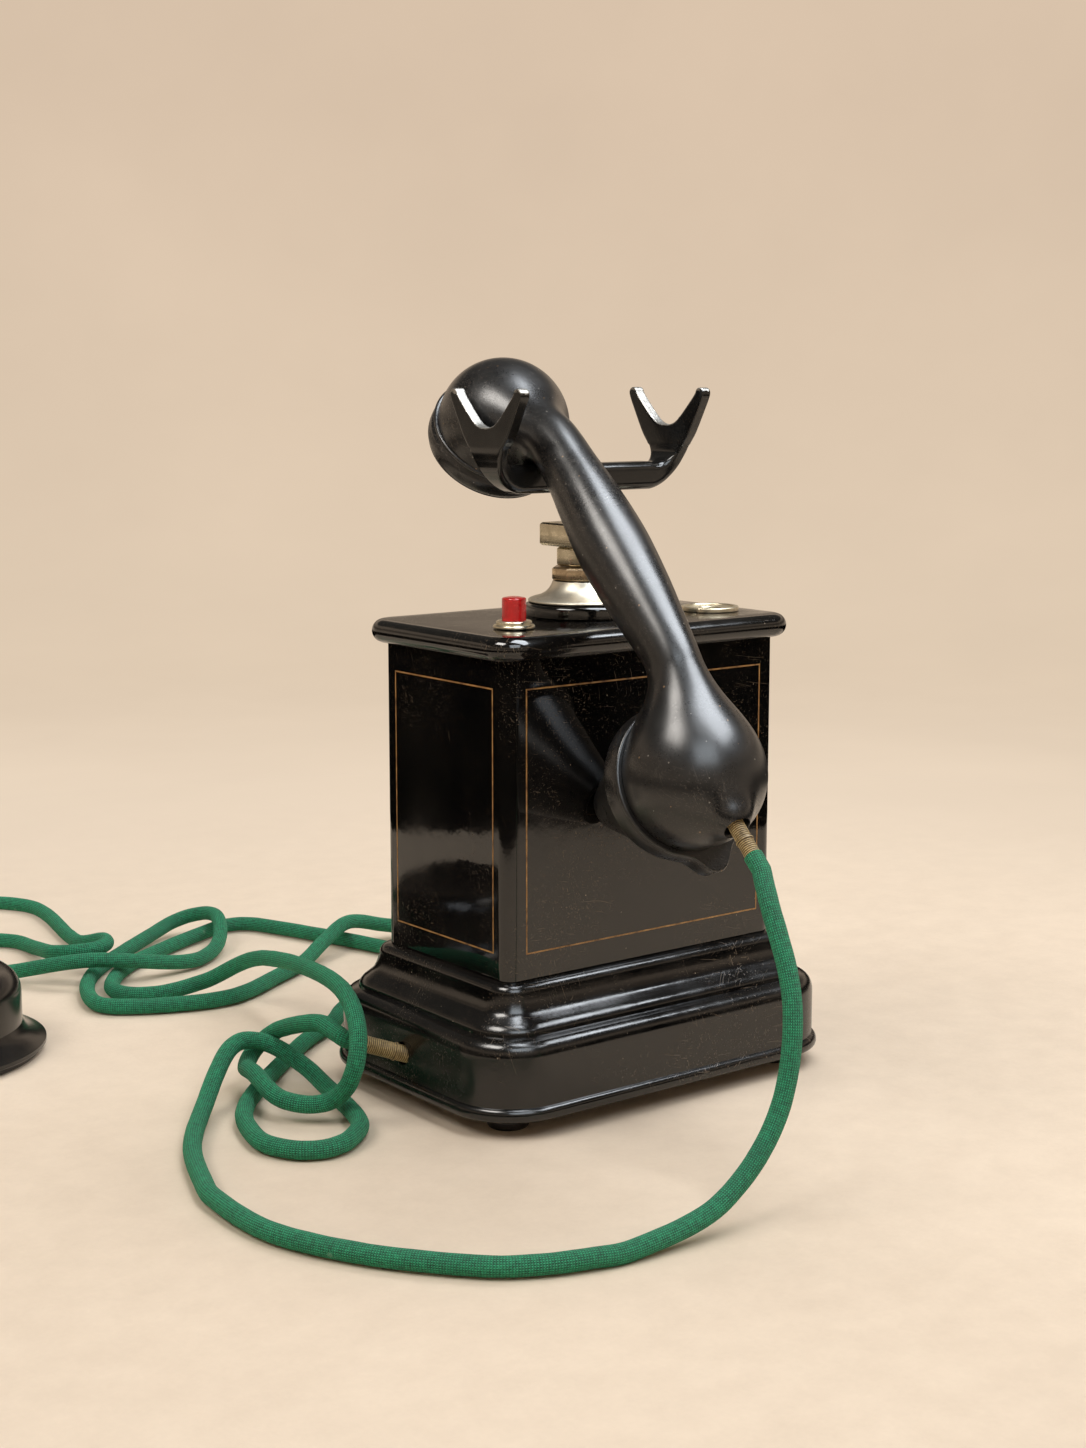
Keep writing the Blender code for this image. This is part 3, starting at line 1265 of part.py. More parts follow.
def make_base_fittings(case, surfaces):
    """The induction coil, the condenser and the terminal block on the base plate."""
    floor = PLATE_TOP + SEAT_GAP
    half = INDUCTION_LENGTH / 2
    cheek = INDUCTION_RADIUS
    winding = INDUCTION_RADIUS - INDUCTION_CHEEK / 2
    bore = INDUCTION_CORE_RADIUS + SLIDE_GAP
    coil = turned(
        "induction_coil",
        (
            (bore, -half),
            (cheek, -half),
            (cheek, -half + INDUCTION_CHEEK),
            (winding, -half + INDUCTION_CHEEK),
            (winding, half - INDUCTION_CHEEK),
            (cheek, half - INDUCTION_CHEEK),
            (cheek, half),
            (bore, half),
        ),
        surfaces["copper"],
        ROUND_SMALL,
        loop=True,
    )
    at = (INDUCTION_X, 0, floor + INDUCTION_RADIUS)
    place(coil, case, at, (math.pi / 2, 0, 0))
    core = rod(
        "induction_core",
        INDUCTION_CORE_RADIUS,
        (0, 0, -half - INDUCTION_CHEEK),
        (0, 0, half + INDUCTION_CHEEK),
        surfaces["steel"],
        ROUND_TINY,
    )
    place(core, case, at, (math.pi / 2, 0, 0))
    condenser = block(
        "condenser",
        (CONDENSER_WIDTH, CONDENSER_DEPTH, CONDENSER_HEIGHT),
        (CONDENSER_X, 0, floor + CONDENSER_HEIGHT / 2),
        surfaces["tin"],
        CONDENSER_WIDTH / 20,
    )
    place(condenser, case)
    strip = block(
        "terminal_block",
        (TERMINAL_WIDTH, TERMINAL_LENGTH, TERMINAL_HEIGHT),
        (TERMINAL_X, 0, floor + TERMINAL_HEIGHT / 2),
        surfaces["ebonite"],
    )
    place(strip, case)
    pitch = TERMINAL_LENGTH / TERMINAL_COUNT
    for i in range(TERMINAL_COUNT):
        y = pitch * (i - (TERMINAL_COUNT - 1) / 2)
        head = floor + TERMINAL_HEIGHT
        join(strip, rod(
            f"terminal_head_{i}",
            TERMINAL_HEAD_RADIUS,
            (TERMINAL_X, y, head - TERMINAL_HEAD_HEIGHT),
            (TERMINAL_X, y, head + TERMINAL_HEAD_HEIGHT),
            surfaces["brass"],
            ROUND_TINY,
        ))


def handle_rings():
    """Rings square to the handle's bowed middle line, from inside the ear bulb to inside the mouth bulb."""
    stations = [
        (MOUTH_Y * along, MOUTH_Z * down, MOUTH_BULB_RADIUS * radius)
        for along, down, radius in HANDLE_PATH_SHARES
    ]
    path = smooth_points(stations, HANDLE_STEPS)
    rings = []
    for i, station in enumerate(path):
        before = path[max(i - 1, 0)]
        after = path[min(i + 1, len(path) - 1)]
        way = Vector((0, after.x - before.x, after.y - before.y)).normalized()
        out = Vector((0, -way.z, way.y))
        middle = Vector((0, station.x, station.y))
        ring = []
        for across, side, _ in circle(station.z, 0, ROUND_SMALL + 4):
            ring.append(middle + Vector((across, 0, 0)) + out * side)
        rings.append(ring)
    return rings


def cap_turn(tilt):
    """Turns +Z to point at the case, tilt below the level."""
    return (-math.pi / 2 - tilt, 0, 0)


def facing(obj, parent, y, z, tilt):
    """Sets a turned piece on a bulb's middle, with its axis out of the bulb's open side."""
    return place(obj, parent, (0, y, z), cap_turn(tilt))


def bulb(name, radius, rim, surface):
    """A dome that is open towards +Z, with its middle at the origin."""
    dome = [
        (radius * math.cos(angle), radius * math.sin(angle))
        for angle in (math.radians(a) for a in range(-80, 1, 16))
    ]
    return turned(name, [(0, -radius)] + dome + [(radius, rim), (0, rim)], surface)


def make_handset(handset, surfaces):
    """The moulded ear and mouth shells with their bowed handle, in one piece, and what they hold."""
    body = place(skin("handset_body", handle_rings(), surfaces["ebonite"]), handset)
    ends = (
        ("ear", EAR_BULB_RADIUS, EAR_RIM, 0, 0, EAR_TILT),
        ("mouth", MOUTH_BULB_RADIUS, MOUTH_RIM, MOUTH_Y, MOUTH_Z, MOUTH_TILT),
    )
    for name, radius, rim, y, z, tilt in ends:
        dome = bulb(f"{name}_dome", radius, rim + CUT_OVERRUN, surfaces["ebonite"])
        join(body, dome)
        facing(dome, handset, y, z, tilt)
    boss_way = Vector((0, math.cos(BOSS_TURN), math.sin(BOSS_TURN)))
    boss_end = Vector((0, BOSS_Y, BOSS_Z))
    join(body, rod("cord_boss", BOSS_RADIUS, boss_end - boss_way * BOSS_LENGTH, boss_end, surfaces["ebonite"]))
    for name, radius, rim, y, z, tilt in ends:
        reach = radius + CAP_WALL
        front = rod(f"cut_{name}_front", reach, (0, 0, rim), (0, 0, rim + radius), surfaces["ebonite"], ROUND)
        cut(body, front)
        facing(front, handset, y, z, tilt)
        hollow = rod(
            f"cut_{name}_hollow",
            radius - SHELL_WALL,
            (0, 0, rim - SHELL_CAVITY - SEAT_GAP),
            (0, 0, rim + CUT_OVERRUN),
            surfaces["ebonite"],
            ROUND,
        )
        cut(body, hollow)
        facing(hollow, handset, y, z, tilt)
    bore_start = boss_end - boss_way * BOSS_BORE_DEPTH
    cut(body, rod("cut_cord_bore", CORD_HOLE_RADIUS, bore_start, boss_end + boss_way * CUT_OVERRUN, surfaces["ebonite"]))

    low = EAR_RIM + SEAT_GAP
    high = low + EAR_CAP_HEIGHT
    step = CAP_WALL / 3
    inner = EAR_CAP_RADIUS - CAP_WALL
    ear_cap = turned(
        "ear_cap",
        (
            (inner, low),
            (EAR_CAP_RADIUS - step, low),
            (EAR_CAP_RADIUS - step / 2, low + step),
            (EAR_CAP_RADIUS - step, low + 2 * step),
            (EAR_CAP_RADIUS - 2 * step, low + 3 * step),
            (EAR_CAP_RADIUS - step, low + 4 * step),
            (EAR_CAP_RADIUS, low + 6 * step),
            (EAR_CAP_RADIUS, high - 3 * step),
            (EAR_CAP_RADIUS - step, high - step),
            (EAR_CAP_RADIUS - 3 * step, high),
            (EAR_HOLE_RADIUS + 4 * step, high - 2 * step),
            (EAR_HOLE_RADIUS, high - 3 * step),
            (EAR_HOLE_RADIUS, high - 3 * step - CAP_WALL),
            (inner, high - 3 * step - CAP_WALL),
        ),
        surfaces["ebonite"],
        loop=True,
    )
    facing(ear_cap, handset, 0, 0, EAR_TILT)
    disc_radius = EAR_BULB_RADIUS - SHELL_WALL / 3
    plate = turned(
        "receiver_diaphragm",
        (
            (0, low),
            (disc_radius, low),
            (disc_radius, low + DIAPHRAGM_THICKNESS),
            (0, low + DIAPHRAGM_THICKNESS),
        ),
        surfaces["tin"],
        ROUND_SMALL,
    )
    facing(plate, handset, 0, 0, EAR_TILT)
    magnet_floor = EAR_RIM - SHELL_CAVITY
    magnet_radius = EAR_BULB_RADIUS - SHELL_WALL - SLIDE_GAP
    magnet = turned(
        "receiver_magnet",
        (
            (0, magnet_floor),
            (magnet_radius, magnet_floor),
            (magnet_radius, magnet_floor + MAGNET_HEIGHT / 2),
            (magnet_radius / 2, magnet_floor + MAGNET_HEIGHT / 2),
            (magnet_radius / 2, magnet_floor + MAGNET_HEIGHT),
            (0, magnet_floor + MAGNET_HEIGHT),
        ),
        surfaces["steel"],
        ROUND_SMALL,
    )
    facing(magnet, handset, 0, 0, EAR_TILT)

    low = MOUTH_RIM + SEAT_GAP
    high = low + MOUTH_CAP_HEIGHT
    inner = MOUTH_CAP_RADIUS - CAP_WALL
    horn_seat = HORN_BASE_RADIUS - HORN_WALL
    mouth_cap = turned(
        "mouth_cap",
        (
            (inner, low),
            (MOUTH_CAP_RADIUS - step, low),
            (MOUTH_CAP_RADIUS, low + step),
            (MOUTH_CAP_RADIUS - step, low + 2 * step),
            (MOUTH_CAP_RADIUS - step, high - step),
            (MOUTH_CAP_RADIUS - 2 * step, high),
            (horn_seat, high),
            (horn_seat, high - CAP_WALL),
            (inner, high - CAP_WALL),
        ),
        surfaces["ebonite"],
        loop=True,
    )
    facing(mouth_cap, handset, MOUTH_Y, MOUTH_Z, MOUTH_TILT)
    lug_base = MOUTH_CAP_RADIUS - CAP_WALL / 2
    lug_tip = MOUTH_CAP_RADIUS + LUG_REACH
    half_base = LUG_WIDTH / 2
    half_tip = half_base / 2
    lug_outline = (
        (-half_base - LUG_REACH / 3, lug_base),
        (-half_base, lug_base + LUG_REACH / 3),
        (-half_tip * 3 / 2, lug_tip - LUG_REACH / 4),
        (-half_tip, lug_tip),
        (half_tip, lug_tip),
        (half_tip * 3 / 2, lug_tip - LUG_REACH / 4),
        (half_base, lug_base + LUG_REACH / 3),
        (half_base + LUG_REACH / 3, lug_base),
    )
    lug = skin(
        "mouth_lug",
        [[(x, y, z) for x, y in lug_outline] for z in (low + step, low + step + LUG_THICKNESS)],
        surfaces["ebonite"],
    )
    soften(lug, FORK_EDGE)
    join(mouth_cap, lug)
    facing(lug, handset, MOUTH_Y, MOUTH_Z, MOUTH_TILT)

    base = high + SEAT_GAP
    tip = base + HORN_LENGTH
    nose = HORN_WALL * 2 / 3
    horn = turned(
        "mouth_horn",
        (
            (HORN_BASE_RADIUS - HORN_WALL, base),
            (HORN_BASE_RADIUS, base),
            (HORN_BASE_RADIUS, base + HORN_WALL),
            (HORN_TIP_RADIUS + nose / 3, tip - 2 * nose),
            (HORN_TIP_RADIUS, tip - nose),
            (HORN_TIP_RADIUS - nose, tip),
            (HORN_TIP_RADIUS - HORN_WALL - nose / 3, tip - nose / 2),
            (HORN_TIP_RADIUS - HORN_WALL - nose / 2, tip - 2 * nose),
        ),
        surfaces["ebonite"],
        loop=True,
    )
    facing(horn, handset, MOUTH_Y, MOUTH_Z, MOUTH_TILT)
    capsule_radius = MOUTH_BULB_RADIUS - SHELL_WALL - SLIDE_GAP
    floor = MOUTH_RIM - SHELL_CAVITY
    capsule = turned(
        "transmitter_capsule",
        (
            (0, floor),
            (capsule_radius, floor),
            (capsule_radius, floor + CAPSULE_HEIGHT),
            (capsule_radius / 2, floor + CAPSULE_HEIGHT),
            (0, floor + CAPSULE_HEIGHT + CAP_WALL),
        ),
        surfaces["brass"],
        ROUND_SMALL,
    )
    facing(capsule, handset, MOUTH_Y, MOUTH_Z, MOUTH_TILT)


def build():
    clear_scene()
    surfaces = make_materials()
    case = bpy.data.objects.new("telephone", None)
    cradle = bpy.data.objects.new("cradle_axis", None)
    button = bpy.data.objects.new("button_axis", None)
    armature = bpy.data.objects.new("armature_axis", None)
    handset = bpy.data.objects.new("handset_frame", None)
    for empty in (case, cradle, button, armature, handset):
        bpy.context.scene.collection.objects.link(empty)
    place(case, None, (0, CASE_SETBACK, 0))
    place(cradle, case)
    place(button, case, (BUTTON_X, BUTTON_Y, 0))
    place(armature, case)
    place(handset, case, EAR_CENTRE, (0, -HANDSET_LEAN, -HANDSET_YAW))
    make_base(case, surfaces)
    make_body(case, surfaces)
    make_pillar(case, surfaces)
    make_cradle(cradle, surfaces)
    make_switch(case, surfaces)
    make_button(case, button, surfaces)
    make_socket(case, surfaces)
    make_ringer(case, armature, surfaces)
    make_base_fittings(case, surfaces)
    make_handset(handset, surfaces)
    make_cords(case, handset, surfaces)


build()
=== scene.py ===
"""Looks for the desk telephone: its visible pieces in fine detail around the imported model, their
surfaces, the camera, the light and the floor. Metres, in the model's own frame.
"""

import json
import math

import bmesh
import bpy
import numpy as np
from mathutils import Matrix, Vector, noise


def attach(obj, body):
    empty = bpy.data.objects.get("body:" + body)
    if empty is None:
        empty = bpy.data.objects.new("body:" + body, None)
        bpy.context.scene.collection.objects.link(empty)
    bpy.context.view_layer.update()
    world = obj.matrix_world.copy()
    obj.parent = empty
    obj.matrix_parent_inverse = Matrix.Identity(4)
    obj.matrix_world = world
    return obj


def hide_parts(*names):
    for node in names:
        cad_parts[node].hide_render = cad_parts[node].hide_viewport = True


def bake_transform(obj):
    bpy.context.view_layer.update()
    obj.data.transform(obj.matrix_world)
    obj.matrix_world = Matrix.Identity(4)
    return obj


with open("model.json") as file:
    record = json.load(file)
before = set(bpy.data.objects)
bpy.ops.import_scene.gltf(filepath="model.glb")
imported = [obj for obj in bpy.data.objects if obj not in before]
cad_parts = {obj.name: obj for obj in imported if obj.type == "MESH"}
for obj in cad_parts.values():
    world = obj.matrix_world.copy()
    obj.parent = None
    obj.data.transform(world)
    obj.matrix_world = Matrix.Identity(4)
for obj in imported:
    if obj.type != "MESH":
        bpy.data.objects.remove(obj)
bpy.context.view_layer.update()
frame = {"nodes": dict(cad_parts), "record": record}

# Camera, as fitted to the photograph
CAMERA_PLACE = (-0.57448, -0.68097, 0.29333)
CAMERA_YAW = math.radians(37.812)
CAMERA_PITCH = math.radians(9.034)
CAMERA_LENS = 55.33
CAMERA_SENSOR = 36.0

# Clearances
SEAT_GAP = 0.0003
SLIDE_GAP = 0.0003
CUT_OVERRUN = 0.002

# Base and case, the same sizes as the model's
SETBACK = 0.03341
FOOT_HEIGHT = 0.0072
FOOT_RADIUS = 0.0102
FOOT_PAD_RADIUS = 0.0082
FOOT_PAD_HEIGHT = 0.0032
FOOT_INSET = 0.0205
BASE_HEIGHT = 0.0498
BASE_FLARE = 0.0204
BASE_WALL = 0.0016
BASE_TOP_FLANGE = 0.0085
BODY_WIDTH = 0.1410
BODY_DEPTH = 0.0850
BODY_HEIGHT = 0.1260
BODY_CORNER = 0.0060
BODY_WALL = 0.0012
BODY_FLANGE = 0.0070
LID_OVERHANG = 0.0066
LID_THICKNESS = 0.0095
LID_LIP = 0.0030
CORD_HOLE_RADIUS = 0.0047
STRIPE_MARGIN = 0.00906
STRIPE_LOW = 0.0102
STRIPE_HIGH = 0.0108
STRIPE_WIDTH = 0.0006
STRIPE_PROUD = 0.00005

# Pillar
PLINTH_RADIUS = 0.0236
PLINTH_HEIGHT = 0.0054
BELL_LIP_RADIUS = 0.0221
BELL_LIP_HEIGHT = 0.0012
BELL_HEIGHT = 0.0086
BELL_NECK_RADIUS = 0.0118
COLLAR_HALF_WIDTH = 0.0117
COLLAR_HEIGHT = 0.0056
COLUMN_HALF_WIDTH = 0.0098
COLUMN_HEIGHT = 0.0078
PILLAR_NUT_HALF_WIDTH = 0.0124
PILLAR_NUT_HEIGHT = 0.0096
PILLAR_CHAMFER = 0.0008
GUIDE_RADIUS = 0.0058
ROD_RADIUS = 0.0031

# Cradle
BAR_CLEARANCE = 0.0127
BAR_HEIGHT = 0.0115
BAR_DEPTH = 0.0110
BAR_HALF_RUN = 0.0340
BEND_RADIUS = 0.0130
FORK_THICKNESS = 0.0047
FORK_HALF_SPREAD = 0.0235
FORK_HEIGHT = 0.0305
FORK_EDGE = 0.0010
BAR_EDGE = 0.0032
BAR_BOSS_RADIUS = 0.0062
BAR_BOSS_HEIGHT = 0.0050
LEAST_EDGE = 0.0008

# Button and socket on the lid
BUTTON_X = -0.0505
BUTTON_Y = -0.0206
BUTTON_RADIUS = 0.0048
BUTTON_PROUD = 0.0090
BUTTON_SKIRT = 0.0020
BUTTON_EDGE = 0.0008
BUTTON_RING_RADIUS = 0.0083
BUTTON_RING_HEIGHT = 0.0030
BUTTON_TUBE_WALL = 0.0014
SOCKET_X = 0.0555
SOCKET_Y = -0.0175
SOCKET_RADIUS = 0.0122
SOCKET_HEIGHT = 0.0017
SOCKET_DISH_RADIUS = 0.0100
SOCKET_BORE = 0.0048
SOCKET_TUBE_WALL = 0.0012
SOCKET_INSERT_DROP = 0.0010
SOCKET_SLOT_WIDTH = 0.0016
SOCKET_SLOT_DEPTH = 0.0014

# Handset, in its own frame: the origin in the ear bulb, +Y towards the case and +Z up
EAR_CENTRE = (-0.0169, 0.0315, 0.2717)
HANDSET_YAW = math.radians(9.1)
HANDSET_LEAN = math.radians(3.7)
EAR_BULB_RADIUS = 0.0267
EAR_TILT = math.radians(43.0)
EAR_RIM = 0.0036
EAR_CAP_RADIUS = 0.0283
EAR_CAP_HEIGHT = 0.0122
EAR_HOLE_RADIUS = 0.0060
CAP_WALL = 0.0028
MOUTH_Y = -0.1369
MOUTH_Z = -0.1278
MOUTH_BULB_RADIUS = 0.0274
MOUTH_TILT = math.radians(20.0)
MOUTH_RIM = 0.0052
MOUTH_CAP_RADIUS = 0.0298
MOUTH_CAP_HEIGHT = 0.0112
HORN_BASE_RADIUS = 0.0262
HORN_TIP_RADIUS = 0.0105
HORN_LENGTH = 0.0458
HORN_WALL = 0.0022
SHELL_WALL = 0.0040
SHELL_CAVITY = 0.0100
LUG_REACH = 0.0072
LUG_SPREAD = 0.0064
LUG_SHAPE = 2.3
LUG_TURN = math.radians(81.0)
BOSS_RADIUS = 0.0066
BOSS_Y = -0.1653
BOSS_Z = -0.1429
BOSS_LENGTH = 0.0300
BOSS_TURN = math.radians(222.0)
BOSS_BORE_DEPTH = 0.0050
BOSS_CROWN = 0.0012
BOSS_BLEND = 0.0085
EAR_BLEND = 0.0170
MOUTH_BLEND = 0.0175
BULB_FRONT_SHARE = 0.5
FIELD_NUDGE = 0.00002
FIELD_ROUNDS = 4
REMESH_SIZE = 0.0008

# Cords
CORD_DIAMETER = 0.0074
CORD_END_GAP = 0.0003
CORD_STATION = 0.0022
CORD_RIB_DEPTH = 0.00022
CORD_JOIN_STATIONS = 9
CORD_LEAD_STATIONS = 4
CORD_LEAST_BEND = 0.0125
CORD_EASE_ROUNDS = 60
HANDSET_WHIPPING_RADIUS = 0.0031
HANDSET_WHIPPING_LENGTH = 0.0120
LINE_WHIPPING_RADIUS = 0.0034
LINE_WHIPPING_INSIDE = 0.0030
WHIPPING_PITCH = 0.00085
LINE_EXIT_Y = 0.0011
LINE_EXIT_Z = 0.0225
REAR_EXIT_X = -0.0100
REAR_EXIT_Z = 0.0200
BUSH_RADIUS = 0.0070
BUSH_LENGTH = 0.0076
BUSH_FLANGE = 0.0020

# Round box at the line's far end
BOX_X = -0.2210
BOX_Y = 0.1910
BOX_RADIUS = 0.0590
BOX_DRUM_RADIUS = 0.0490
BOX_HEIGHT = 0.0360
BOX_FOOT_HEIGHT = 0.0026
BOX_FLARE_HEIGHT = 0.0100
BOX_SHOULDER = 0.0100
BOX_CORD_Z = 0.0175

# Floor, backdrop and lamps
FLOOR_RADIUS = 1.10
BACKDROP_RADIUS = 0.80
BACKDROP_HEIGHT = 1.05
PAPER_NEAR = 0.22
PAPER_FAR = 0.74
SCREEN_RADIUS = 0.575
SCREEN_DARK_HEIGHT = 0.132
SCREEN_CLEAR_HEIGHT = 0.152
SCREEN_VEIL_HEIGHT = 0.225
SCREEN_HEIGHT = 0.330
SCREEN_VEIL = 0.42

# The cords' points, as in the model
HANDSET_CORD_POINTS = (
    (-0.039, -0.155, 0.1070), (-0.042, -0.171, 0.0730), (-0.052, -0.175, 0.0365),
    (-0.079, -0.176, 0.0110), (-0.116, -0.176, 0.0040), (-0.135, -0.173, 0.0040),
    (-0.153, -0.166, 0.0040), (-0.168, -0.155, 0.0040), (-0.191, -0.125, 0.0040),
    (-0.206, -0.089, 0.0040), (-0.206, -0.052, 0.0040), (-0.201, -0.033, 0.0040),
    (-0.186, 0.002, 0.0040), (-0.164, 0.033, 0.0060), (-0.138, 0.057, 0.0195),
    (-0.121, 0.060, 0.0190), (-0.111, 0.046, 0.0110), (-0.110, 0.028, 0.0055),
    (-0.119, -0.009, 0.0040), (-0.130, -0.024, 0.0040), (-0.147, -0.032, 0.0040),
    (-0.160, -0.020, 0.0040), (-0.161, -0.001, 0.0040), (-0.144, 0.033, 0.0040),
    (-0.088, 0.085, 0.0040), (-0.057, 0.107, 0.0040), (-0.044, 0.120, 0.0040),
    (-0.028, 0.131, 0.0040), (-0.011, 0.125, 0.0055), (-0.006, 0.108, 0.0115),
    (-0.009, 0.090, 0.0185),
)
LINE_CORD_POINTS = (
    (-0.107, 0.007, 0.0285), (-0.114, 0.028, 0.0330), (-0.114, 0.072, 0.0165),
    (-0.128, 0.061, 0.0100), (-0.137, 0.039, 0.0135), (-0.138, 0.015, 0.0090),
    (-0.124, 0.000, 0.0100), (-0.118, -0.009, 0.0310), (-0.103, 0.029, 0.0465),
    (-0.071, 0.143, 0.0285), (-0.078, 0.185, 0.0095), (-0.098, 0.196, 0.0045),
    (-0.111, 0.214, 0.0040), (-0.083, 0.251, 0.0040), (-0.021, 0.286, 0.0040),
    (0.002, 0.291, 0.0040), (0.013, 0.271, 0.0040), (0.029, 0.225, 0.0040),
    (0.043, 0.180, 0.0040), (0.065, 0.176, 0.0040), (0.079, 0.194, 0.0040),
    (0.072, 0.216, 0.0045), (0.052, 0.228, 0.0080), (0.029, 0.226, 0.0135),
    (0.008, 0.216, 0.0090), (-0.012, 0.203, 0.0045), (-0.034, 0.190, 0.0040),
    (-0.075, 0.171, 0.0040), (-0.119, 0.187, 0.0040), (-0.125, 0.209, 0.0040),
    (-0.102, 0.250, 0.0040), (-0.046, 0.295, 0.0055), (-0.024, 0.302, 0.0100),
    (-0.017, 0.283, 0.0130), (-0.026, 0.262, 0.0075), (-0.042, 0.245, 0.0045),
    (-0.064, 0.236, 0.0055), (-0.111, 0.239, 0.0135), (-0.141, 0.274, 0.0045),
    (-0.156, 0.291, 0.0040), (-0.160, 0.315, 0.0040), (-0.148, 0.336, 0.0040),
    (-0.127, 0.344, 0.0040), (-0.109, 0.330, 0.0040), (-0.107, 0.306, 0.0050),
    (-0.115, 0.262, 0.0130), (-0.096, 0.254, 0.0135), (-0.085, 0.274, 0.0125),
    (-0.086, 0.297, 0.0065), (-0.081, 0.322, 0.0040), (-0.069, 0.391, 0.0040),
    (-0.096, 0.426, 0.0040), (-0.120, 0.427, 0.0040), (-0.165, 0.412, 0.0040),
    (-0.199, 0.379, 0.0040), (-0.221, 0.336, 0.0040), (-0.223, 0.288, 0.0065),
)

# Knitted stitches round the cord, and along each length of its girth
BRAID_COLUMNS = 26.0
BRAID_ROWS = 24.0

# Outlines, as shares of the sizes that they follow
BASE_ROLL_SHARES = (
    (0.050, 1.000), (0.157, 0.986), (0.225, 0.952), (0.250, 0.912), (0.294, 0.851),
    (0.373, 0.787), (0.500, 0.739), (0.588, 0.711), (0.657, 0.675), (0.681, 0.637),
)
BASE_SHOULDER_SHARES = (
    (0.681, 0.637), (0.765, 0.629), (0.863, 0.612), (0.946, 0.574), (0.990, 0.522), (1.000, 0.478),
)
BASE_BEAD_SHARES = (
    (1.000, 0.108), (1.049, 0.098), (1.088, 0.074), (1.098, 0.044), (1.078, 0.016), (1.030, 0.000),
)
BELL_PROFILE_SHARES = ((1.00, 0.00), (0.78, 0.10), (0.50, 0.22), (0.28, 0.40), (0.12, 0.66), (0.0, 1.0))
BEND_SPREAD_SHARE = 0.49
FORK_OUTER_SHARES = ((0.47, 0.215), (0.51, 0.26), (0.64, 0.39), (0.86, 0.69), (0.975, 0.86))
FORK_TIP_SHARES = (
    (0.999, 0.925), (0.986, 0.963), (0.950, 0.990), (0.898, 1.0), (0.846, 0.990), (0.810, 0.960), (0.782, 0.915),
)
FORK_INNER_SHARES = ((0.61, 0.775), (0.41, 0.625), (0.25, 0.530), (0.10, 0.495))
BOSS_MOUTH_SHARES = ((0.72, -0.45), (0.74, -0.26), (0.79, -0.12), (0.88, -0.02), (1.02, 0.05))
HANDLE_PATH_SHARES = (
    (0.040, 0.015, 0.560),
    (0.150, 0.018, 0.470),
    (0.292, 0.043, 0.400),
    (0.421, 0.147, 0.418),
    (0.513, 0.238, 0.473),
    (0.624, 0.357, 0.524),
    (0.737, 0.475, 0.495),
    (0.819, 0.559, 0.444),
    (0.892, 0.636, 0.396),
    (0.930, 0.692, 0.392),
    (0.960, 0.760, 0.412),
    (0.983, 0.860, 0.440),
    (1.000, 0.980, 0.450),
)
LIP_SHARE = 0.35
BOX_FLARE_SHARES = ((1.0, 0.0), (1.0, 0.22), (0.62, 0.36), (0.26, 0.62), (0.0, 1.0))

ROUND = 128
CORNER_STEPS = 16
HANDLE_STEPS = 12
CORD_SIDES = 28
CORD_LUMPS_PER_METRE = 130.0
SMOOTH_STEPS = 5

# Heights that follow from the sizes
HALF_WIDTH = BODY_WIDTH / 2
HALF_DEPTH = BODY_DEPTH / 2
BASE_TOP = FOOT_HEIGHT + BASE_HEIGHT
BODY_BOTTOM = BASE_TOP + SEAT_GAP
BODY_TOP = BODY_BOTTOM + BODY_HEIGHT
LID_BOTTOM = BODY_TOP + SEAT_GAP
LID_TOP = LID_BOTTOM + LID_THICKNESS
PLINTH_BOTTOM = LID_TOP + SEAT_GAP
BELL_BOTTOM = PLINTH_BOTTOM + PLINTH_HEIGHT + SEAT_GAP
COLLAR_BOTTOM = BELL_BOTTOM + BELL_HEIGHT + SEAT_GAP
COLUMN_BOTTOM = COLLAR_BOTTOM + COLLAR_HEIGHT + SEAT_GAP
NUT_BOTTOM = COLUMN_BOTTOM + COLUMN_HEIGHT + SEAT_GAP
NUT_TOP = NUT_BOTTOM + PILLAR_NUT_HEIGHT
BAR_BOTTOM = NUT_TOP + BAR_CLEARANCE
BAR_MIDDLE = BAR_BOTTOM + BAR_HEIGHT / 2
FORK_X = BAR_HALF_RUN + BEND_RADIUS
FORK_BOTTOM = BAR_BOTTOM + BAR_HEIGHT
BORE_RADIUS = GUIDE_RADIUS + SLIDE_GAP
ROD_BORE = ROD_RADIUS + SLIDE_GAP
CASE_FRAME = Matrix.Translation((0, SETBACK, 0))
HANDSET_TURN = Matrix.Rotation(-HANDSET_YAW, 4, "Z") @ Matrix.Rotation(-HANDSET_LEAN, 4, "Y")
HANDSET_FRAME = CASE_FRAME @ Matrix.Translation(EAR_CENTRE) @ HANDSET_TURN


# Mesh helpers


def make_mesh(name, bm, surface, sharp=30.0):
    """One smooth-shaded object from a bmesh, its edges sharp above the angle."""
    bmesh.ops.recalc_face_normals(bm, faces=bm.faces)
    mesh = bpy.data.meshes.new(name)
    bm.to_mesh(mesh)
    bm.free()
    mesh.shade_smooth()
    mesh.set_sharp_from_angle(angle=math.radians(sharp))
    obj = bpy.data.objects.new(name, mesh)
    bpy.context.scene.collection.objects.link(obj)
    mesh.materials.append(surface)
    return obj


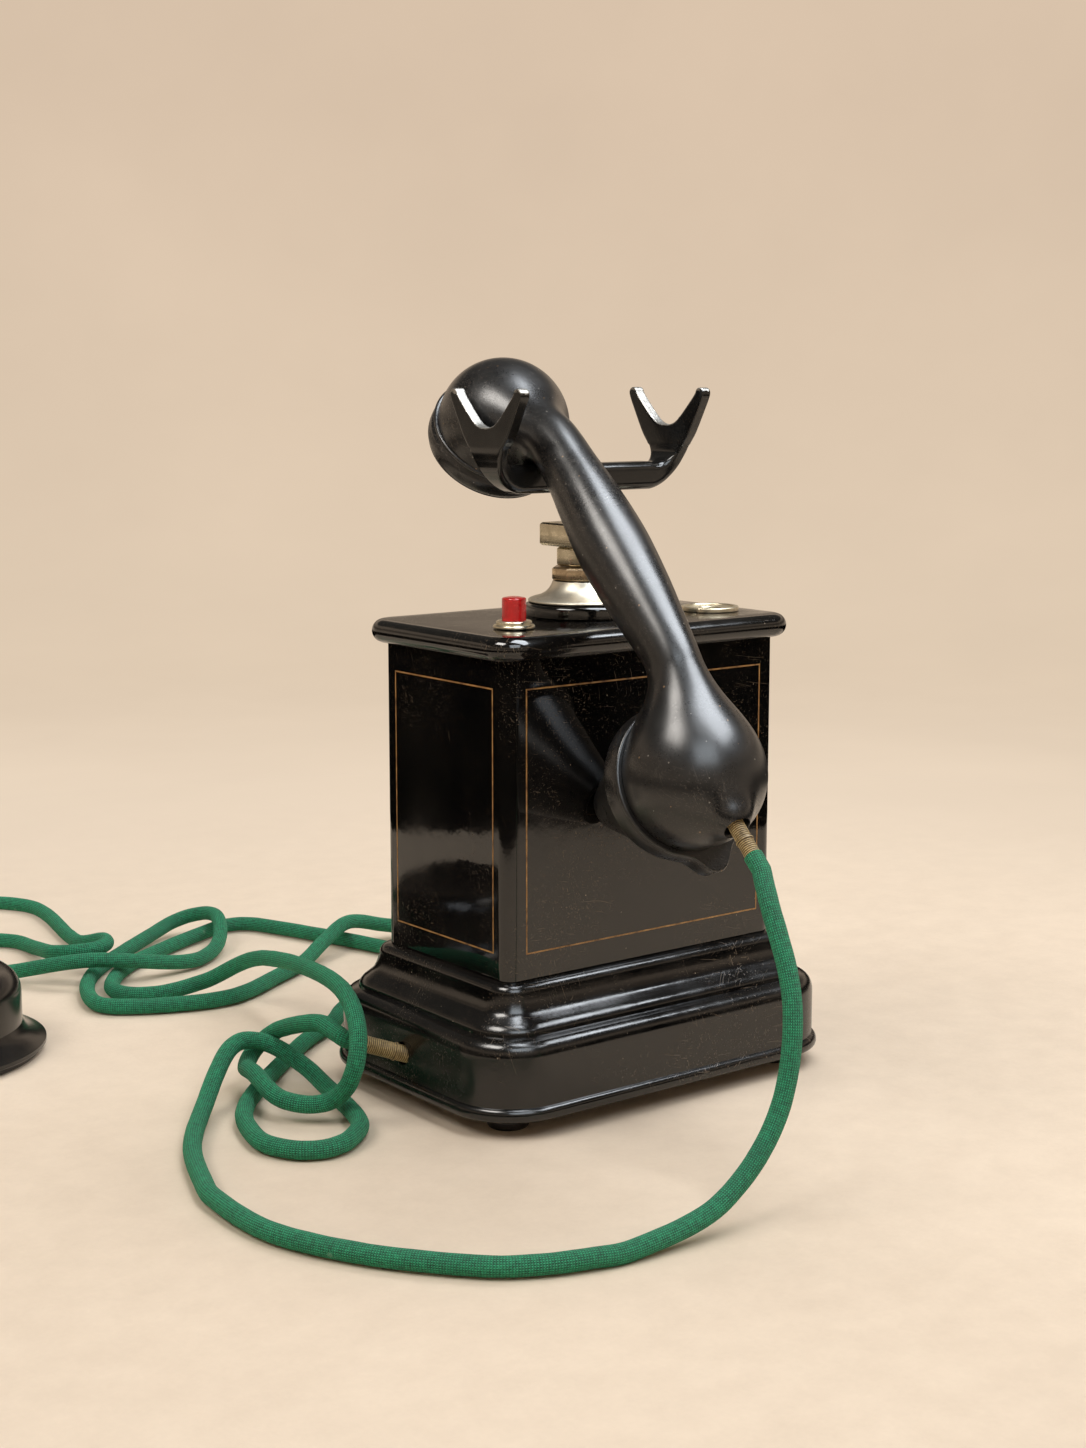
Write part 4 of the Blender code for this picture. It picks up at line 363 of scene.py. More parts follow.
def skin(name, rings, surface, loop=False, sharp=30.0):
    """Joins rings of points one after another. A ring of one point is a pole."""
    bm = bmesh.new()
    made = [[bm.verts.new(point) for point in ring] for ring in rings]
    pairs = list(zip(made, made[1:]))
    if loop:
        pairs.append((made[-1], made[0]))
    for lower, upper in pairs:
        count = max(len(lower), len(upper))
        for i in range(count):
            j = (i + 1) % count
            if len(lower) == 1:
                bm.faces.new((lower[0], upper[i], upper[j]))
            elif len(upper) == 1:
                bm.faces.new((lower[i], lower[j], upper[0]))
            else:
                bm.faces.new((lower[i], lower[j], upper[j], upper[i]))
    if not loop:
        for ring in (made[0], made[-1]):
            if len(ring) > 1:
                bm.faces.new(ring)
    return make_mesh(name, bm, surface, sharp)


def circle(radius, height, steps=ROUND, sides=0):
    """A ring round Z. sides gives a polygon with this many flats, whose radius is to the flat."""
    points = []
    for i in range(steps):
        angle = math.tau * i / steps
        reach = radius
        if sides:
            step = math.tau / sides
            reach = radius / math.cos((angle + step / 2) % step - step / 2)
        points.append((reach * math.cos(angle), reach * math.sin(angle), height))
    return points


def turned(name, profile, surface, steps=ROUND, loop=False, sharp=30.0):
    """A solid of revolution from (radius, height) points."""
    rings = [circle(radius, height, steps) if radius > 0 else [(0, 0, height)] for radius, height in profile]
    return skin(name, rings, surface, loop, sharp)


def rounded_rectangle(half_x, half_y, corner, height):
    corner = max(corner, LEAST_EDGE)
    points = []
    for quarter, (side_x, side_y) in enumerate(((1, 1), (-1, 1), (-1, -1), (1, -1))):
        for i in range(CORNER_STEPS):
            angle = math.pi / 2 * (quarter + i / (CORNER_STEPS - 1))
            points.append((
                side_x * (half_x - corner) + corner * math.cos(angle),
                side_y * (half_y - corner) + corner * math.sin(angle),
                height,
            ))
    return points


def moulding(name, profile, surface, loop=False, sharp=30.0):
    """Sweeps a profile of (way out, height) round the case's rectangle."""
    rings = [
        rounded_rectangle(HALF_WIDTH + out, HALF_DEPTH + out, BODY_CORNER + out, height)
        for out, height in profile
    ]
    return skin(name, rings, surface, loop, sharp)


def smooth_points(points, per_span):
    """Points on a smooth curve through the given ones."""
    points = [Vector(point) for point in points]
    ends = [2 * points[0] - points[1]] + points + [2 * points[-1] - points[-2]]
    result = []
    for i in range(1, len(ends) - 2):
        before, here, there, after = ends[i - 1: i + 3]
        for j in range(per_span):
            t = j / per_span
            result.append(0.5 * (
                2 * here
                + (there - before) * t
                + (2 * before - 5 * here + 4 * there - after) * t ** 2
                + (3 * here - before - 3 * there + after) * t ** 3
            ))
    result.append(points[-1])
    return result


def spaced(points, step):
    """Points a step apart along a polyline, with both its ends kept."""
    lengths = [0.0]
    for here, there in zip(points, points[1:]):
        lengths.append(lengths[-1] + (there - here).length)
    count = max(2, round(lengths[-1] / step))
    result = []
    k = 0
    for i in range(count + 1):
        target = lengths[-1] * i / count
        while k < len(points) - 2 and lengths[k + 1] < target:
            k += 1
        span = lengths[k + 1] - lengths[k]
        result.append(points[k].lerp(points[k + 1], (target - lengths[k]) / span))
    return result


def arc(centre, radius, start, end, steps):
    """Points on an arc, as (across, up)."""
    points = []
    for i in range(steps + 1):
        angle = math.radians(start + (end - start) * i / steps)
        points.append((centre[0] + radius * math.cos(angle), centre[1] + radius * math.sin(angle)))
    return points


def combine(obj, other, operation):
    """Adds or takes away another solid for good, and deletes the other."""
    change = obj.modifiers.new(other.name, "BOOLEAN")
    change.operation = operation
    change.object = other
    change.solver = "EXACT"
    apply_modifiers(obj)
    bpy.data.objects.remove(other)
    return obj


def apply_modifiers(obj):
    """Replaces the object's mesh by what its modifiers make of it."""
    bpy.context.view_layer.update()
    graph = bpy.context.evaluated_depsgraph_get()
    mesh = bpy.data.meshes.new_from_object(obj.evaluated_get(graph))
    obj.modifiers.clear()
    obj.data = mesh
    return obj


def soften(obj, width, segments=3, angle=40.0):
    bevel = obj.modifiers.new("Edges", "BEVEL")
    bevel.width = width
    bevel.segments = segments
    bevel.limit_method = "ANGLE"
    bevel.angle_limit = math.radians(angle)
    return apply_modifiers(obj)


def resharpen(obj, sharp=30.0):
    obj.data.shade_smooth()
    obj.data.set_sharp_from_angle(angle=math.radians(sharp))
    return obj


def rod(name, radius, start, end, surface, steps=ROUND):
    """A plain round bar between two points."""
    start = Vector(start)
    way = Vector(end) - start
    turn = way.to_track_quat("Z", "Y").to_matrix()
    rings = []
    for share in (0, 1):
        rings.append([start + way * share + turn @ Vector(point) for point in circle(radius, 0, steps)])
    return skin(name, rings, surface)


def seat(obj, matrix):
    """Moves the mesh itself into the model's frame, so that its surface patterns are in that frame too."""
    obj.data.transform(matrix)
    return obj


def settle(obj, body, slot, *nodes):
    """The piece rides on a body and stands for the nodes. Its slot argument is not used."""
    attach(obj, body)
    if nodes:
        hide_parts(*nodes)
    return obj


# Surfaces


class Shader:
    """A Principled material with helpers that add its nodes."""

    def __init__(self, name, **sockets):
        self.material = bpy.data.materials.new(name)
        self.material.use_nodes = True
        self.tree = self.material.node_tree
        self.surface = self.tree.nodes["Principled BSDF"]
        for key, value in sockets.items():
            self.set(key.replace("_", " "), value)

    def set(self, socket, value):
        entry = self.surface.inputs[socket]
        if isinstance(value, bpy.types.NodeSocket):
            self.tree.links.new(value, entry)
        elif isinstance(value, tuple) and len(value) == 3 and entry.type == "RGBA":
            entry.default_value = (*value, 1.0)
        else:
            entry.default_value = value

    def node(self, kind, inputs=None, **settings):
        made = self.tree.nodes.new(kind)
        for key, value in settings.items():
            setattr(made, key, value)
        for key, value in (inputs or {}).items():
            entry = made.inputs[key]
            if isinstance(value, bpy.types.NodeSocket):
                self.tree.links.new(value, entry)
            elif isinstance(value, tuple) and len(value) == 3 and entry.type == "RGBA":
                entry.default_value = (*value, 1.0)
            else:
                entry.default_value = value
        return made

    def place(self, stretch=(1, 1, 1), turn=(0, 0, 0)):
        """Object coordinates in metres, turned and then stretched."""
        where = self.node("ShaderNodeTexCoord").outputs["Object"]
        if any(turn):
            where = self.node("ShaderNodeMapping", {"Vector": where, "Rotation": turn}).outputs["Vector"]
        return self.node("ShaderNodeMapping", {"Vector": where, "Scale": stretch}).outputs["Vector"]

    def noise(self, scale, detail=3.0, rough=0.55, vector=None, stretch=(1, 1, 1)):
        where = vector or self.place(stretch)
        return self.node(
            "ShaderNodeTexNoise",
            {"Vector": where, "Scale": scale, "Detail": detail, "Roughness": rough},
        ).outputs["Fac"]

    def steps(self, value, *stops):
        """A colour ramp. Each stop is (position, grey) or (position, red, green, blue)."""
        ramp = self.node("ShaderNodeValToRGB", {"Fac": value})
        elements = ramp.color_ramp.elements
        while len(elements) < len(stops):
            elements.new(0.5)
        for element, (position, *colour) in zip(elements, stops):
            element.position = position
            element.color = (*(colour if len(colour) == 3 else colour * 3), 1.0)
        return ramp.outputs["Color"]

    def mix(self, factor, first, second):
        made = self.node("ShaderNodeMix", data_type="RGBA")
        for index, value in ((0, factor), (6, first), (7, second)):
            entry = made.inputs[index]
            if isinstance(value, bpy.types.NodeSocket):
                self.tree.links.new(value, entry)
            elif isinstance(value, tuple):
                entry.default_value = (*value, 1.0)
            else:
                entry.default_value = value
        return made.outputs[2]

    def sum(self, operation, first, second=0.0, clamp=False):
        return self.node(
            "ShaderNodeMath", {0: first, 1: second}, operation=operation, use_clamp=clamp,
        ).outputs[0]

    def range(self, value, low, high, least=0.0, most=1.0):
        return self.node(
            "ShaderNodeMapRange",
            {"Value": value, "From Min": low, "From Max": high, "To Min": least, "To Max": most},
        ).outputs["Result"]

    def bump(self, height, strength, distance):
        made = self.node("ShaderNodeBump", {"Height": height, "Strength": strength, "Distance": distance})
        self.set("Normal", made.outputs["Normal"])
        return made

    def value(self, name):
        """The mesh's own painted mask of this name."""
        return self.node("ShaderNodeAttribute", attribute_name=name).outputs["Fac"]


def specks(shader, scale, size, share):
    """Small sparse dots: 1 inside a dot. share is how many of the cells keep theirs."""
    cells = shader.node(
        "ShaderNodeTexVoronoi", {"Vector": shader.place(), "Scale": scale, "Randomness": 1.0},
    )
    inside = shader.sum("LESS_THAN", cells.outputs["Distance"], size)
    chosen = shader.node("ShaderNodeSeparateColor", {"Color": cells.outputs["Color"]}).outputs["Red"]
    kept = shader.sum("LESS_THAN", chosen, share)
    return shader.sum("MULTIPLY", inside, kept)


def scratches(shader, turn, width, length, low, high):
    """Long thin wandering marks along one direction."""
    where = shader.place(turn=turn)
    drift = shader.node("ShaderNodeTexNoise", {"Vector": where, "Scale": 24.0, "Detail": 1.0}).outputs["Color"]
    drift = shader.node("ShaderNodeVectorMath", {0: drift, 1: (0.012, 0.012, 0.012)}, operation="MULTIPLY")
    where = shader.node("ShaderNodeVectorMath", {0: where, 1: drift.outputs[0]}, operation="ADD").outputs[0]
    stretch = (1 / width, 1 / width, 1 / length)
    where = shader.node("ShaderNodeMapping", {"Vector": where, "Scale": stretch}).outputs["Vector"]
    return shader.range(shader.noise(1.0, 2.0, 0.5, vector=where), low, high)


def crossing_scratches(shader, width, length, low, high):
    """Marks in four directions, gathered in patches."""
    total = None
    for turn in ((0.3, 0.2, 0.1), (1.2, 0.5, 0.4), (0.8, -0.9, 1.3), (-0.5, 1.4, 0.2)):
        marks = scratches(shader, turn, width, length, low, high)
        total = marks if total is None else shader.sum("MAXIMUM", total, marks)
    patches = shader.range(shader.noise(19.0, 3.0), 0.42, 0.66)
    return shader.sum("MULTIPLY", total, patches)


def lacquer_surface(name="black_lacquer", smooth=0.02, cloud=0.10, ripple=0.05):
    """Deep black gloss lacquer with polish clouds, fine brown scratches and dust."""
    shader = Shader(name, IOR=1.58)
    cloudy = shader.noise(30.0, 6.0, 0.62)
    base = shader.steps(cloudy, (0.35, 0.0022, 0.0022, 0.0024), (0.70, 0.0060, 0.0056, 0.0050))
    dots = specks(shader, 380.0, 0.10, 0.05)
    marks = crossing_scratches(shader, 0.0007, 0.030, 0.66, 0.72)
    colour = shader.mix(shader.sum("MULTIPLY", marks, 0.55), base, (0.19, 0.145, 0.10))
    colour = shader.mix(shader.sum("MULTIPLY", dots, 0.60), colour, (0.34, 0.27, 0.19))
    shader.set("Base Color", colour)
    rough = shader.range(cloudy, 0.35, 0.75, smooth, smooth + cloud)
    rough = shader.sum("ADD", rough, shader.sum("MULTIPLY", marks, 0.15))
    shader.set("Roughness", shader.sum("ADD", rough, shader.sum("MULTIPLY", dots, 0.3)))
    wave = shader.noise(75.0, 3.0, 0.5)
    grit = shader.sum("MULTIPLY", shader.noise(700.0, 3.0, 0.6), 0.06)
    height = shader.sum("ADD", shader.sum("ADD", wave, grit), shader.sum("MULTIPLY", dots, 0.1))
    shader.bump(shader.sum("SUBTRACT", height, shader.sum("MULTIPLY", marks, 0.08)), ripple, 0.0010)
    return shader.material


def enamel_surface():
    """Black enamel on metal, worn to bright metal where the painted mask says."""
    shader = Shader("black_enamel", Specular_IOR_Level=0.5)
    cloudy = shader.noise(60.0, 4.0, 0.6)
    base = shader.steps(cloudy, (0.30, 0.006, 0.006, 0.0062), (0.75, 0.012, 0.0118, 0.0112))
    wear = shader.value("wear")
    ragged = shader.sum("ADD", wear, shader.range(shader.noise(260.0, 5.0, 0.65), 0.25, 0.75, -0.32, 0.32))
    bare = shader.range(ragged, 0.52, 0.60)
    metal_tone = shader.noise(300.0, 4.0, 0.7)
    metal = shader.steps(metal_tone, (0.34, 0.22, 0.21, 0.19), (0.62, 0.42, 0.405, 0.375))
    shader.set("Base Color", shader.mix(bare, base, metal))
    shader.set("Metallic", bare)
    polish = shader.range(cloudy, 0.3, 0.8, 0.10, 0.24)
    shader.set("Roughness", shader.sum("ADD", polish, shader.sum("MULTIPLY", bare, 0.30)))
    shader.bump(shader.sum("SUBTRACT", cloudy, shader.sum("MULTIPLY", bare, 0.5)), 0.15, 0.0003)
    return shader.material


def ebonite_surface():
    """Satin black ebonite with a soft worn sheen, swirled scratches, pits and small tan specks."""
    shader = Shader("ebonite", IOR=1.56, Specular_IOR_Level=0.54)
    cloudy = shader.noise(42.0, 6.0, 0.65)
    base = shader.steps(cloudy, (0.30, 0.0050, 0.0052, 0.0058), (0.75, 0.0140, 0.0135, 0.0130))
    dots = specks(shader, 300.0, 0.12, 0.08)
    pale = specks(shader, 430.0, 0.13, 0.08)
    pits = specks(shader, 260.0, 0.13, 0.12)
    marks = crossing_scratches(shader, 0.0006, 0.016, 0.64, 0.70)
    colour = shader.mix(shader.sum("MULTIPLY", marks, 0.45), base, (0.16, 0.14, 0.12))
    colour = shader.mix(shader.sum("MULTIPLY", dots, 0.80), colour, (0.30, 0.19, 0.10))
    colour = shader.mix(shader.sum("MULTIPLY", pale, 0.70), colour, (0.34, 0.32, 0.29))
    shader.set("Base Color", colour)
    grain = shader.noise(1100.0, 3.0, 0.6)
    rough = shader.range(cloudy, 0.3, 0.8, 0.25, 0.35)
    rough = shader.sum("ADD", rough, shader.range(grain, 0.3, 0.7, -0.02, 0.03))
    shader.set("Roughness", shader.sum("ADD", rough, shader.sum("MULTIPLY", marks, 0.12)))
    wave = shader.sum("MULTIPLY", shader.noise(60.0, 3.0, 0.5), 0.36)
    height = shader.sum("ADD", shader.sum("MULTIPLY", grain, 0.10), wave)
    height = shader.sum("SUBTRACT", height, shader.sum("MULTIPLY", pits, 0.35))
    height = shader.sum("SUBTRACT", height, shader.sum("MULTIPLY", marks, 0.12))
    shader.bump(height, 0.12, 0.0006)
    return shader.material


def nickel_surface(name="nickel", low=(0.44, 0.38, 0.26), high=(0.76, 0.69, 0.53), rough=0.25):
    """Old nickel plate: warm, uneven and satin, with dark spots and fine turned lines."""
    shader = Shader(name, Metallic=1.0)
    patina = shader.noise(110.0, 6.0, 0.68)
    base = shader.steps(patina, (0.32, *low), (0.60, *high))
    dots = specks(shader, 460.0, 0.17, 0.18)
    shader.set("Base Color", shader.mix(shader.sum("MULTIPLY", dots, 0.55), base, (0.20, 0.16, 0.11)))
    lines = shader.noise(150.0, 3.0, 0.6, stretch=(0.15, 0.15, 9.0))
    blotch = shader.range(patina, 0.3, 0.7, rough + 0.14, rough - 0.05)
    shader.set("Roughness", shader.sum("ADD", blotch, shader.range(lines, 0.3, 0.7, -0.04, 0.06)))
    shader.bump(shader.sum("ADD", lines, patina), 0.14, 0.0002)
    return shader.material


def steel_surface():
    shader = Shader("bright_steel", Metallic=1.0)
    patina = shader.noise(140.0, 5.0, 0.6)
    shader.set("Base Color", shader.steps(patina, (0.3, 0.30, 0.30, 0.30), (0.7, 0.52, 0.52, 0.51)))
    shader.set("Roughness", shader.range(patina, 0.3, 0.7, 0.42, 0.26))
    shader.bump(patina, 0.15, 0.0002)
    return shader.material


def brass_surface():
    shader = Shader("turned_brass", Metallic=1.0)
    patina = shader.noise(120.0, 5.0, 0.6)
    shader.set("Base Color", shader.steps(patina, (0.3, 0.34, 0.23, 0.09), (0.7, 0.60, 0.45, 0.20)))
    shader.set("Roughness", shader.range(patina, 0.3, 0.7, 0.45, 0.26))
    shader.bump(patina, 0.15, 0.0002)
    return shader.material


def red_surface():
    """Polished red button, a little cloudy inside."""
    shader = Shader("red_button", Coat_Weight=0.25, Coat_Roughness=0.05)
    cloudy = shader.noise(180.0, 4.0, 0.6)
    shader.set("Base Color", shader.steps(cloudy, (0.30, 0.42, 0.004, 0.006), (0.72, 0.66, 0.010, 0.012)))
    shader.set("Roughness", shader.range(cloudy, 0.3, 0.7, 0.16, 0.30))
    shader.bump(cloudy, 0.08, 0.0002)
    return shader.material


def gold_surface():
    """The hand-drawn gold line, thin and dull in places."""
    shader = Shader("gold_line")
    worn = shader.noise(210.0, 4.0, 0.65)
    colour = shader.steps(worn, (0.32, 0.085, 0.040, 0.012), (0.48, 0.30, 0.150, 0.040), (0.66, 0.46, 0.25, 0.080))
    shader.set("Base Color", colour)
    shader.set("Roughness", shader.range(worn, 0.3, 0.7, 0.50, 0.32))
    shader.bump(worn, 0.1, 0.0001)
    return shader.material


def braid_surface():
    """Knitted green textile, with painted shade: darker in the hollows between stitches and ribs, lighter on the
    crests. The mesh's map runs round the cord, and along it in turns of its girth.
    """
    shader = Shader("green_braid", Specular_IOR_Level=0.3, Sheen_Weight=0.22, Sheen_Roughness=0.45)
    shader.set("Sheen Tint", (0.30, 0.85, 0.55))
    where = shader.node("ShaderNodeUVMap", uv_map="along").outputs["UV"]
    split = shader.node("ShaderNodeSeparateXYZ", {"Vector": where})
    around, along = split.outputs["X"], split.outputs["Y"]
    column = shader.sum("FRACT", shader.sum("MULTIPLY", around, BRAID_COLUMNS))
    half = shader.sum("ABSOLUTE", shader.sum("SUBTRACT", column, 0.5))
    lean = shader.sum("MULTIPLY", half, 1.2)
    stitch = shader.sum("FRACT", shader.sum("ADD", shader.sum("MULTIPLY", along, BRAID_ROWS), lean))
    crest = shader.sum("SINE", shader.sum("MULTIPLY", stitch, math.pi))
    rib = shader.sum("SUBTRACT", 1.0, shader.sum("MULTIPLY", half, 1.6))
    yarn = shader.noise(600.0, 3.0, 0.65)
    height = shader.sum("MULTIPLY", crest, rib)
    # Painted shade: the colour follows the stitch height, dark in the hollows and light on the crests, besides the
    # bump.
    painted_stitch_shade = shader.sum("ADD", height, shader.range(yarn, 0.3, 0.7, -0.22, 0.22))
    colour = shader.steps(
        painted_stitch_shade, (0.00, 0.0030, 0.045, 0.022), (0.30, 0.0090, 0.165, 0.080), (0.85, 0.038, 0.440, 0.210),
    )
    dirt = shader.noise(30.0, 5.0, 0.65)
    colour = shader.mix(shader.range(dirt, 0.50, 0.80, 0.0, 0.60), colour, (0.010, 0.100, 0.050))
    faded = specks(shader, 120.0, 0.12, 0.06)
    colour = shader.mix(shader.sum("MULTIPLY", faded, 0.40), colour, (0.20, 0.45, 0.30))
    shader.set("Base Color", colour)
    shader.set("Roughness", shader.range(yarn, 0.3, 0.7, 0.70, 0.88))
    shader.bump(shader.sum("ADD", height, shader.sum("MULTIPLY", yarn, 0.4)), 0.9, 0.00040)
    return shader.material


def thread_surface():
    """Waxed olive-brown thread, with painted shade: darker in the hollows between its turns, lighter on their crests.
    """
    shader = Shader("yellow_thread", Specular_IOR_Level=0.4, Sheen_Weight=0.1)
    fibre = shader.noise(700.0, 4.0, 0.65)
    dirt = shader.noise(210.0, 4.0, 0.6)
    # Painted shade: the mesh's mask is 0 in the hollow between turns and 1 on each crest.
    painted_groove_shade = shader.value("painted_groove_shade")
    tone = shader.sum("ADD", shader.range(fibre, 0.3, 0.7, -0.25, 0.20), painted_groove_shade)
    colour = shader.steps(tone, (0.10, 0.045, 0.026, 0.008), (0.55, 0.22, 0.140, 0.044), (1.0, 0.52, 0.40, 0.180))
    shader.set("Base Color", shader.mix(shader.range(dirt, 0.45, 0.75, 0.0, 0.75), colour, (0.085, 0.055, 0.018)))
    shader.set("Roughness", shader.range(fibre, 0.3, 0.7, 0.45, 0.70))
    shader.bump(fibre, 0.5, 0.0003)
    return shader.material


def dark_surface(name="dark_ebonite", rough=0.22):
    """Turned black insulator, slightly brown with age."""
    shader = Shader(name)
    cloudy = shader.noise(48.0, 5.0, 0.6)
    shader.set("Base Color", shader.steps(cloudy, (0.3, 0.0085, 0.0080, 0.0075), (0.8, 0.020, 0.017, 0.0145)))
    shader.set("Roughness", shader.range(cloudy, 0.3, 0.8, rough, rough + 0.14))
    shader.bump(shader.noise(160.0, 3.0, 0.5), 0.10, 0.0003)
    return shader.material


def wood_surface():
    shader = Shader("beech_board", Specular_IOR_Level=0.3)
    warp = shader.noise(14.0, 3.0, 0.5, stretch=(0.25, 2.0, 2.0))
    rings = shader.node(
        "ShaderNodeTexWave",
        {"Vector": shader.place((0.15, 1, 1)), "Scale": 60.0, "Distortion": 6.0, "Detail": 3.0},
    ).outputs["Fac"]
    tone = shader.sum("ADD", shader.sum("MULTIPLY", warp, 0.6), shader.sum("MULTIPLY", rings, 0.4))
    shader.set("Base Color", shader.steps(tone, (0.25, 0.26, 0.13, 0.055), (0.75, 0.45, 0.27, 0.14)))
    shader.set("Roughness", shader.range(tone, 0.2, 0.8, 0.5, 0.7))
    shader.bump(tone, 0.2, 0.0003)
    return shader.material


def winding_surface():
    """Fine varnished wire, wound close."""
    shader = Shader("enamelled_wire", Coat_Weight=0.3)
    lines = shader.node(
        "ShaderNodeTexWave", {"Vector": shader.place(), "Scale": 900.0, "Distortion": 0.6}, bands_direction="Z",
    ).outputs["Fac"]
    shader.set("Base Color", shader.steps(lines, (0.1, 0.07, 0.020, 0.010), (0.9, 0.34, 0.115, 0.045)))
    shader.set("Roughness", shader.range(shader.noise(90.0), 0.3, 0.7, 0.30, 0.50))
    shader.bump(lines, 0.5, 0.0002)
    return shader.material


def tin_surface():
    shader = Shader("tinned_can", Metallic=1.0)
    patina = shader.noise(70.0, 6.0, 0.6)
    shader.set("Base Color", shader.steps(patina, (0.3, 0.32, 0.32, 0.31), (0.7, 0.58, 0.58, 0.56)))
    shader.set("Roughness", shader.range(patina, 0.3, 0.7, 0.50, 0.34))
    shader.bump(patina, 0.15, 0.0003)
    return shader.material


def make_surfaces():
    return {
        "lacquer": lacquer_surface(),
        "base_lacquer": lacquer_surface("base_lacquer", 0.12, 0.18, 0.16),
        "lid_lacquer": lacquer_surface("lid_lacquer", 0.05, 0.16, 0.08),
        "enamel": enamel_surface(),
        "ebonite": ebonite_surface(),
        "nickel": nickel_surface(),
        "bell_nickel": nickel_surface("bell_nickel", (0.48, 0.43, 0.34), (0.70, 0.65, 0.54), 0.42),
        "copper_edge": nickel_surface("worn_nickel", (0.36, 0.25, 0.15), (0.68, 0.55, 0.38), 0.24),
        "steel": steel_surface(),
        "brass": brass_surface(),
        "red_button": red_surface(),
        "gold": gold_surface(),
        "braid": braid_surface(),
        "thread": thread_surface(),
        "insulator": dark_surface(),
        "foot": dark_surface("foot_ebonite", 0.35),
        "line_box": dark_surface("box_ebonite", 0.16),
        "wood": wood_surface(),
        "winding": winding_surface(),
        "tin": tin_surface(),
    }


# Camera and cords


def make_camera():
    data = bpy.data.cameras.new("camera")
    data.lens = CAMERA_LENS
    data.sensor_width = CAMERA_SENSOR
    data.clip_start = 0.01
    camera = bpy.data.objects.new("camera", data)
    bpy.context.scene.collection.objects.link(camera)
    camera.location = CAMERA_PLACE
    camera.rotation_euler = (math.pi / 2 - CAMERA_PITCH, 0, -CAMERA_YAW)
    bpy.context.scene.camera = camera


def cord_mesh(name, path, surface):
    """A softly uneven textile tube along the path, with a map that runs round it and along it."""
    girth = math.pi * CORD_DIAMETER
    ways = []
    for i in range(len(path)):
        ways.append((path[min(i + 1, len(path) - 1)] - path[max(i - 1, 0)]).normalized())
    side = ways[0].cross(Vector((0, 0, 1))).normalized()
    bm = bmesh.new()
    layer = bm.loops.layers.uv.new("along")
    rings = []
    travelled = 0.0
    for i, (point, way) in enumerate(zip(path, ways)):
        if i:
            travelled += (point - path[i - 1]).length
            side = (side - way * side.dot(way)).normalized()
        up = way.cross(side)
        ring = []
        for k in range(CORD_SIDES):
            angle = math.tau * k / CORD_SIDES
            place = Vector((math.cos(angle), math.sin(angle), travelled * CORD_LUMPS_PER_METRE))
            lump = (1 - noise.noise(place)) / 2
            radius = CORD_DIAMETER / 2 - CORD_RIB_DEPTH * lump
            ring.append(bm.verts.new(point + side * radius * math.cos(angle) + up * radius * math.sin(angle)))
        rings.append((ring, travelled / girth))
    for (near, low), (far, high) in zip(rings, rings[1:]):
        for k in range(CORD_SIDES):
            face = bm.faces.new((near[k], near[(k + 1) % CORD_SIDES], far[(k + 1) % CORD_SIDES], far[k]))
            corners = ((k, low), (k + 1, low), (k + 1, high), (k, high))
            for loop, (around, along) in zip(face.loops, corners):
                loop[layer].uv = (around / CORD_SIDES, along)
    bm.faces.new(rings[0][0])
    bm.faces.new(rings[-1][0])
    return make_mesh(name, bm, surface, 60.0)


def wound(name, radius, start, end, surface, ring_share):
    """A cord's end bound in thread: close turns, with one proud ring."""
    start, end = Vector(start), Vector(end)
    length = (end - start).length
    turn = (end - start).to_track_quat("Z", "Y").to_matrix()
    per_turn = 6
    count = round(length / WHIPPING_PITCH) * per_turn
    rings, painted_groove_shades = [], []
    for i in range(count + 1):
        share = i / count
        phase = abs(math.sin(math.pi * i / per_turn))
        reach = radius - WHIPPING_PITCH * 0.28 * (1 - phase)
        if abs(share - ring_share) < 1.2 / count * per_turn / 2:
            reach = radius + WHIPPING_PITCH * 0.4
        if share in (0.0, 1.0):
            reach = radius - WHIPPING_PITCH / 2
        ring = [start + (end - start) * share + turn @ Vector(point) for point in circle(reach, 0, 48)]
        rings.append(ring)
        painted_groove_shades += [phase] * len(ring)
    obj = skin(name, rings, surface, sharp=80.0)
    # Painted shade mask for the thread's colour: 0 in the hollow between turns, 1 on each crest.
    mask = obj.data.attributes.new("painted_groove_shade", "FLOAT", "POINT")
    mask.data.foreach_set("value", painted_groove_shades)
    return obj


def bend_radius(before, here, after):
    """The radius of the circle through three points."""
    first, second, third = here - before, after - here, after - before
    twice_area = first.cross(third).length
    if twice_area < 1e-12:
        return math.inf
    return first.length * second.length * third.length / (2 * twice_area)


def ease_bends(path):
    """Widens the bends that are tighter than the cord can make."""
    last = len(path) - 1
    for _ in range(CORD_EASE_ROUNDS):
        tight = set()
        for i in range(2, last - 1):
            if bend_radius(path[i - 2], path[i], path[i + 2]) < CORD_LEAST_BEND:
                tight.update(range(i - 3, i + 4))
        eased = list(path)
        for i in tight:
            if CORD_LEAD_STATIONS <= i <= last - CORD_LEAD_STATIONS:
                eased[i] = path[i] / 2 + (path[i - 1] + path[i + 1]) / 4
        path = eased
    return path


def case_path(first, points, last, start_way, end_way):
    """A cord's smooth middle line in the model's frame, straight where it leaves and where it arrives."""
    route = [CASE_FRAME @ Vector(point) for point in (first, *points, last)]
    dense = spaced(smooth_points(route, 16), CORD_STATION)
    leads = [CORD_STATION * i for i in range(CORD_LEAD_STATIONS)]
    lead_in = [dense[0] + start_way * reach for reach in leads]
    lead_out = [dense[-1] - end_way * reach for reach in reversed(leads)]
    middle = dense[CORD_JOIN_STATIONS:-CORD_JOIN_STATIONS]
    path = ease_bends(spaced(lead_in + middle + lead_out, CORD_STATION))
    return spaced(path, CORD_STATION)


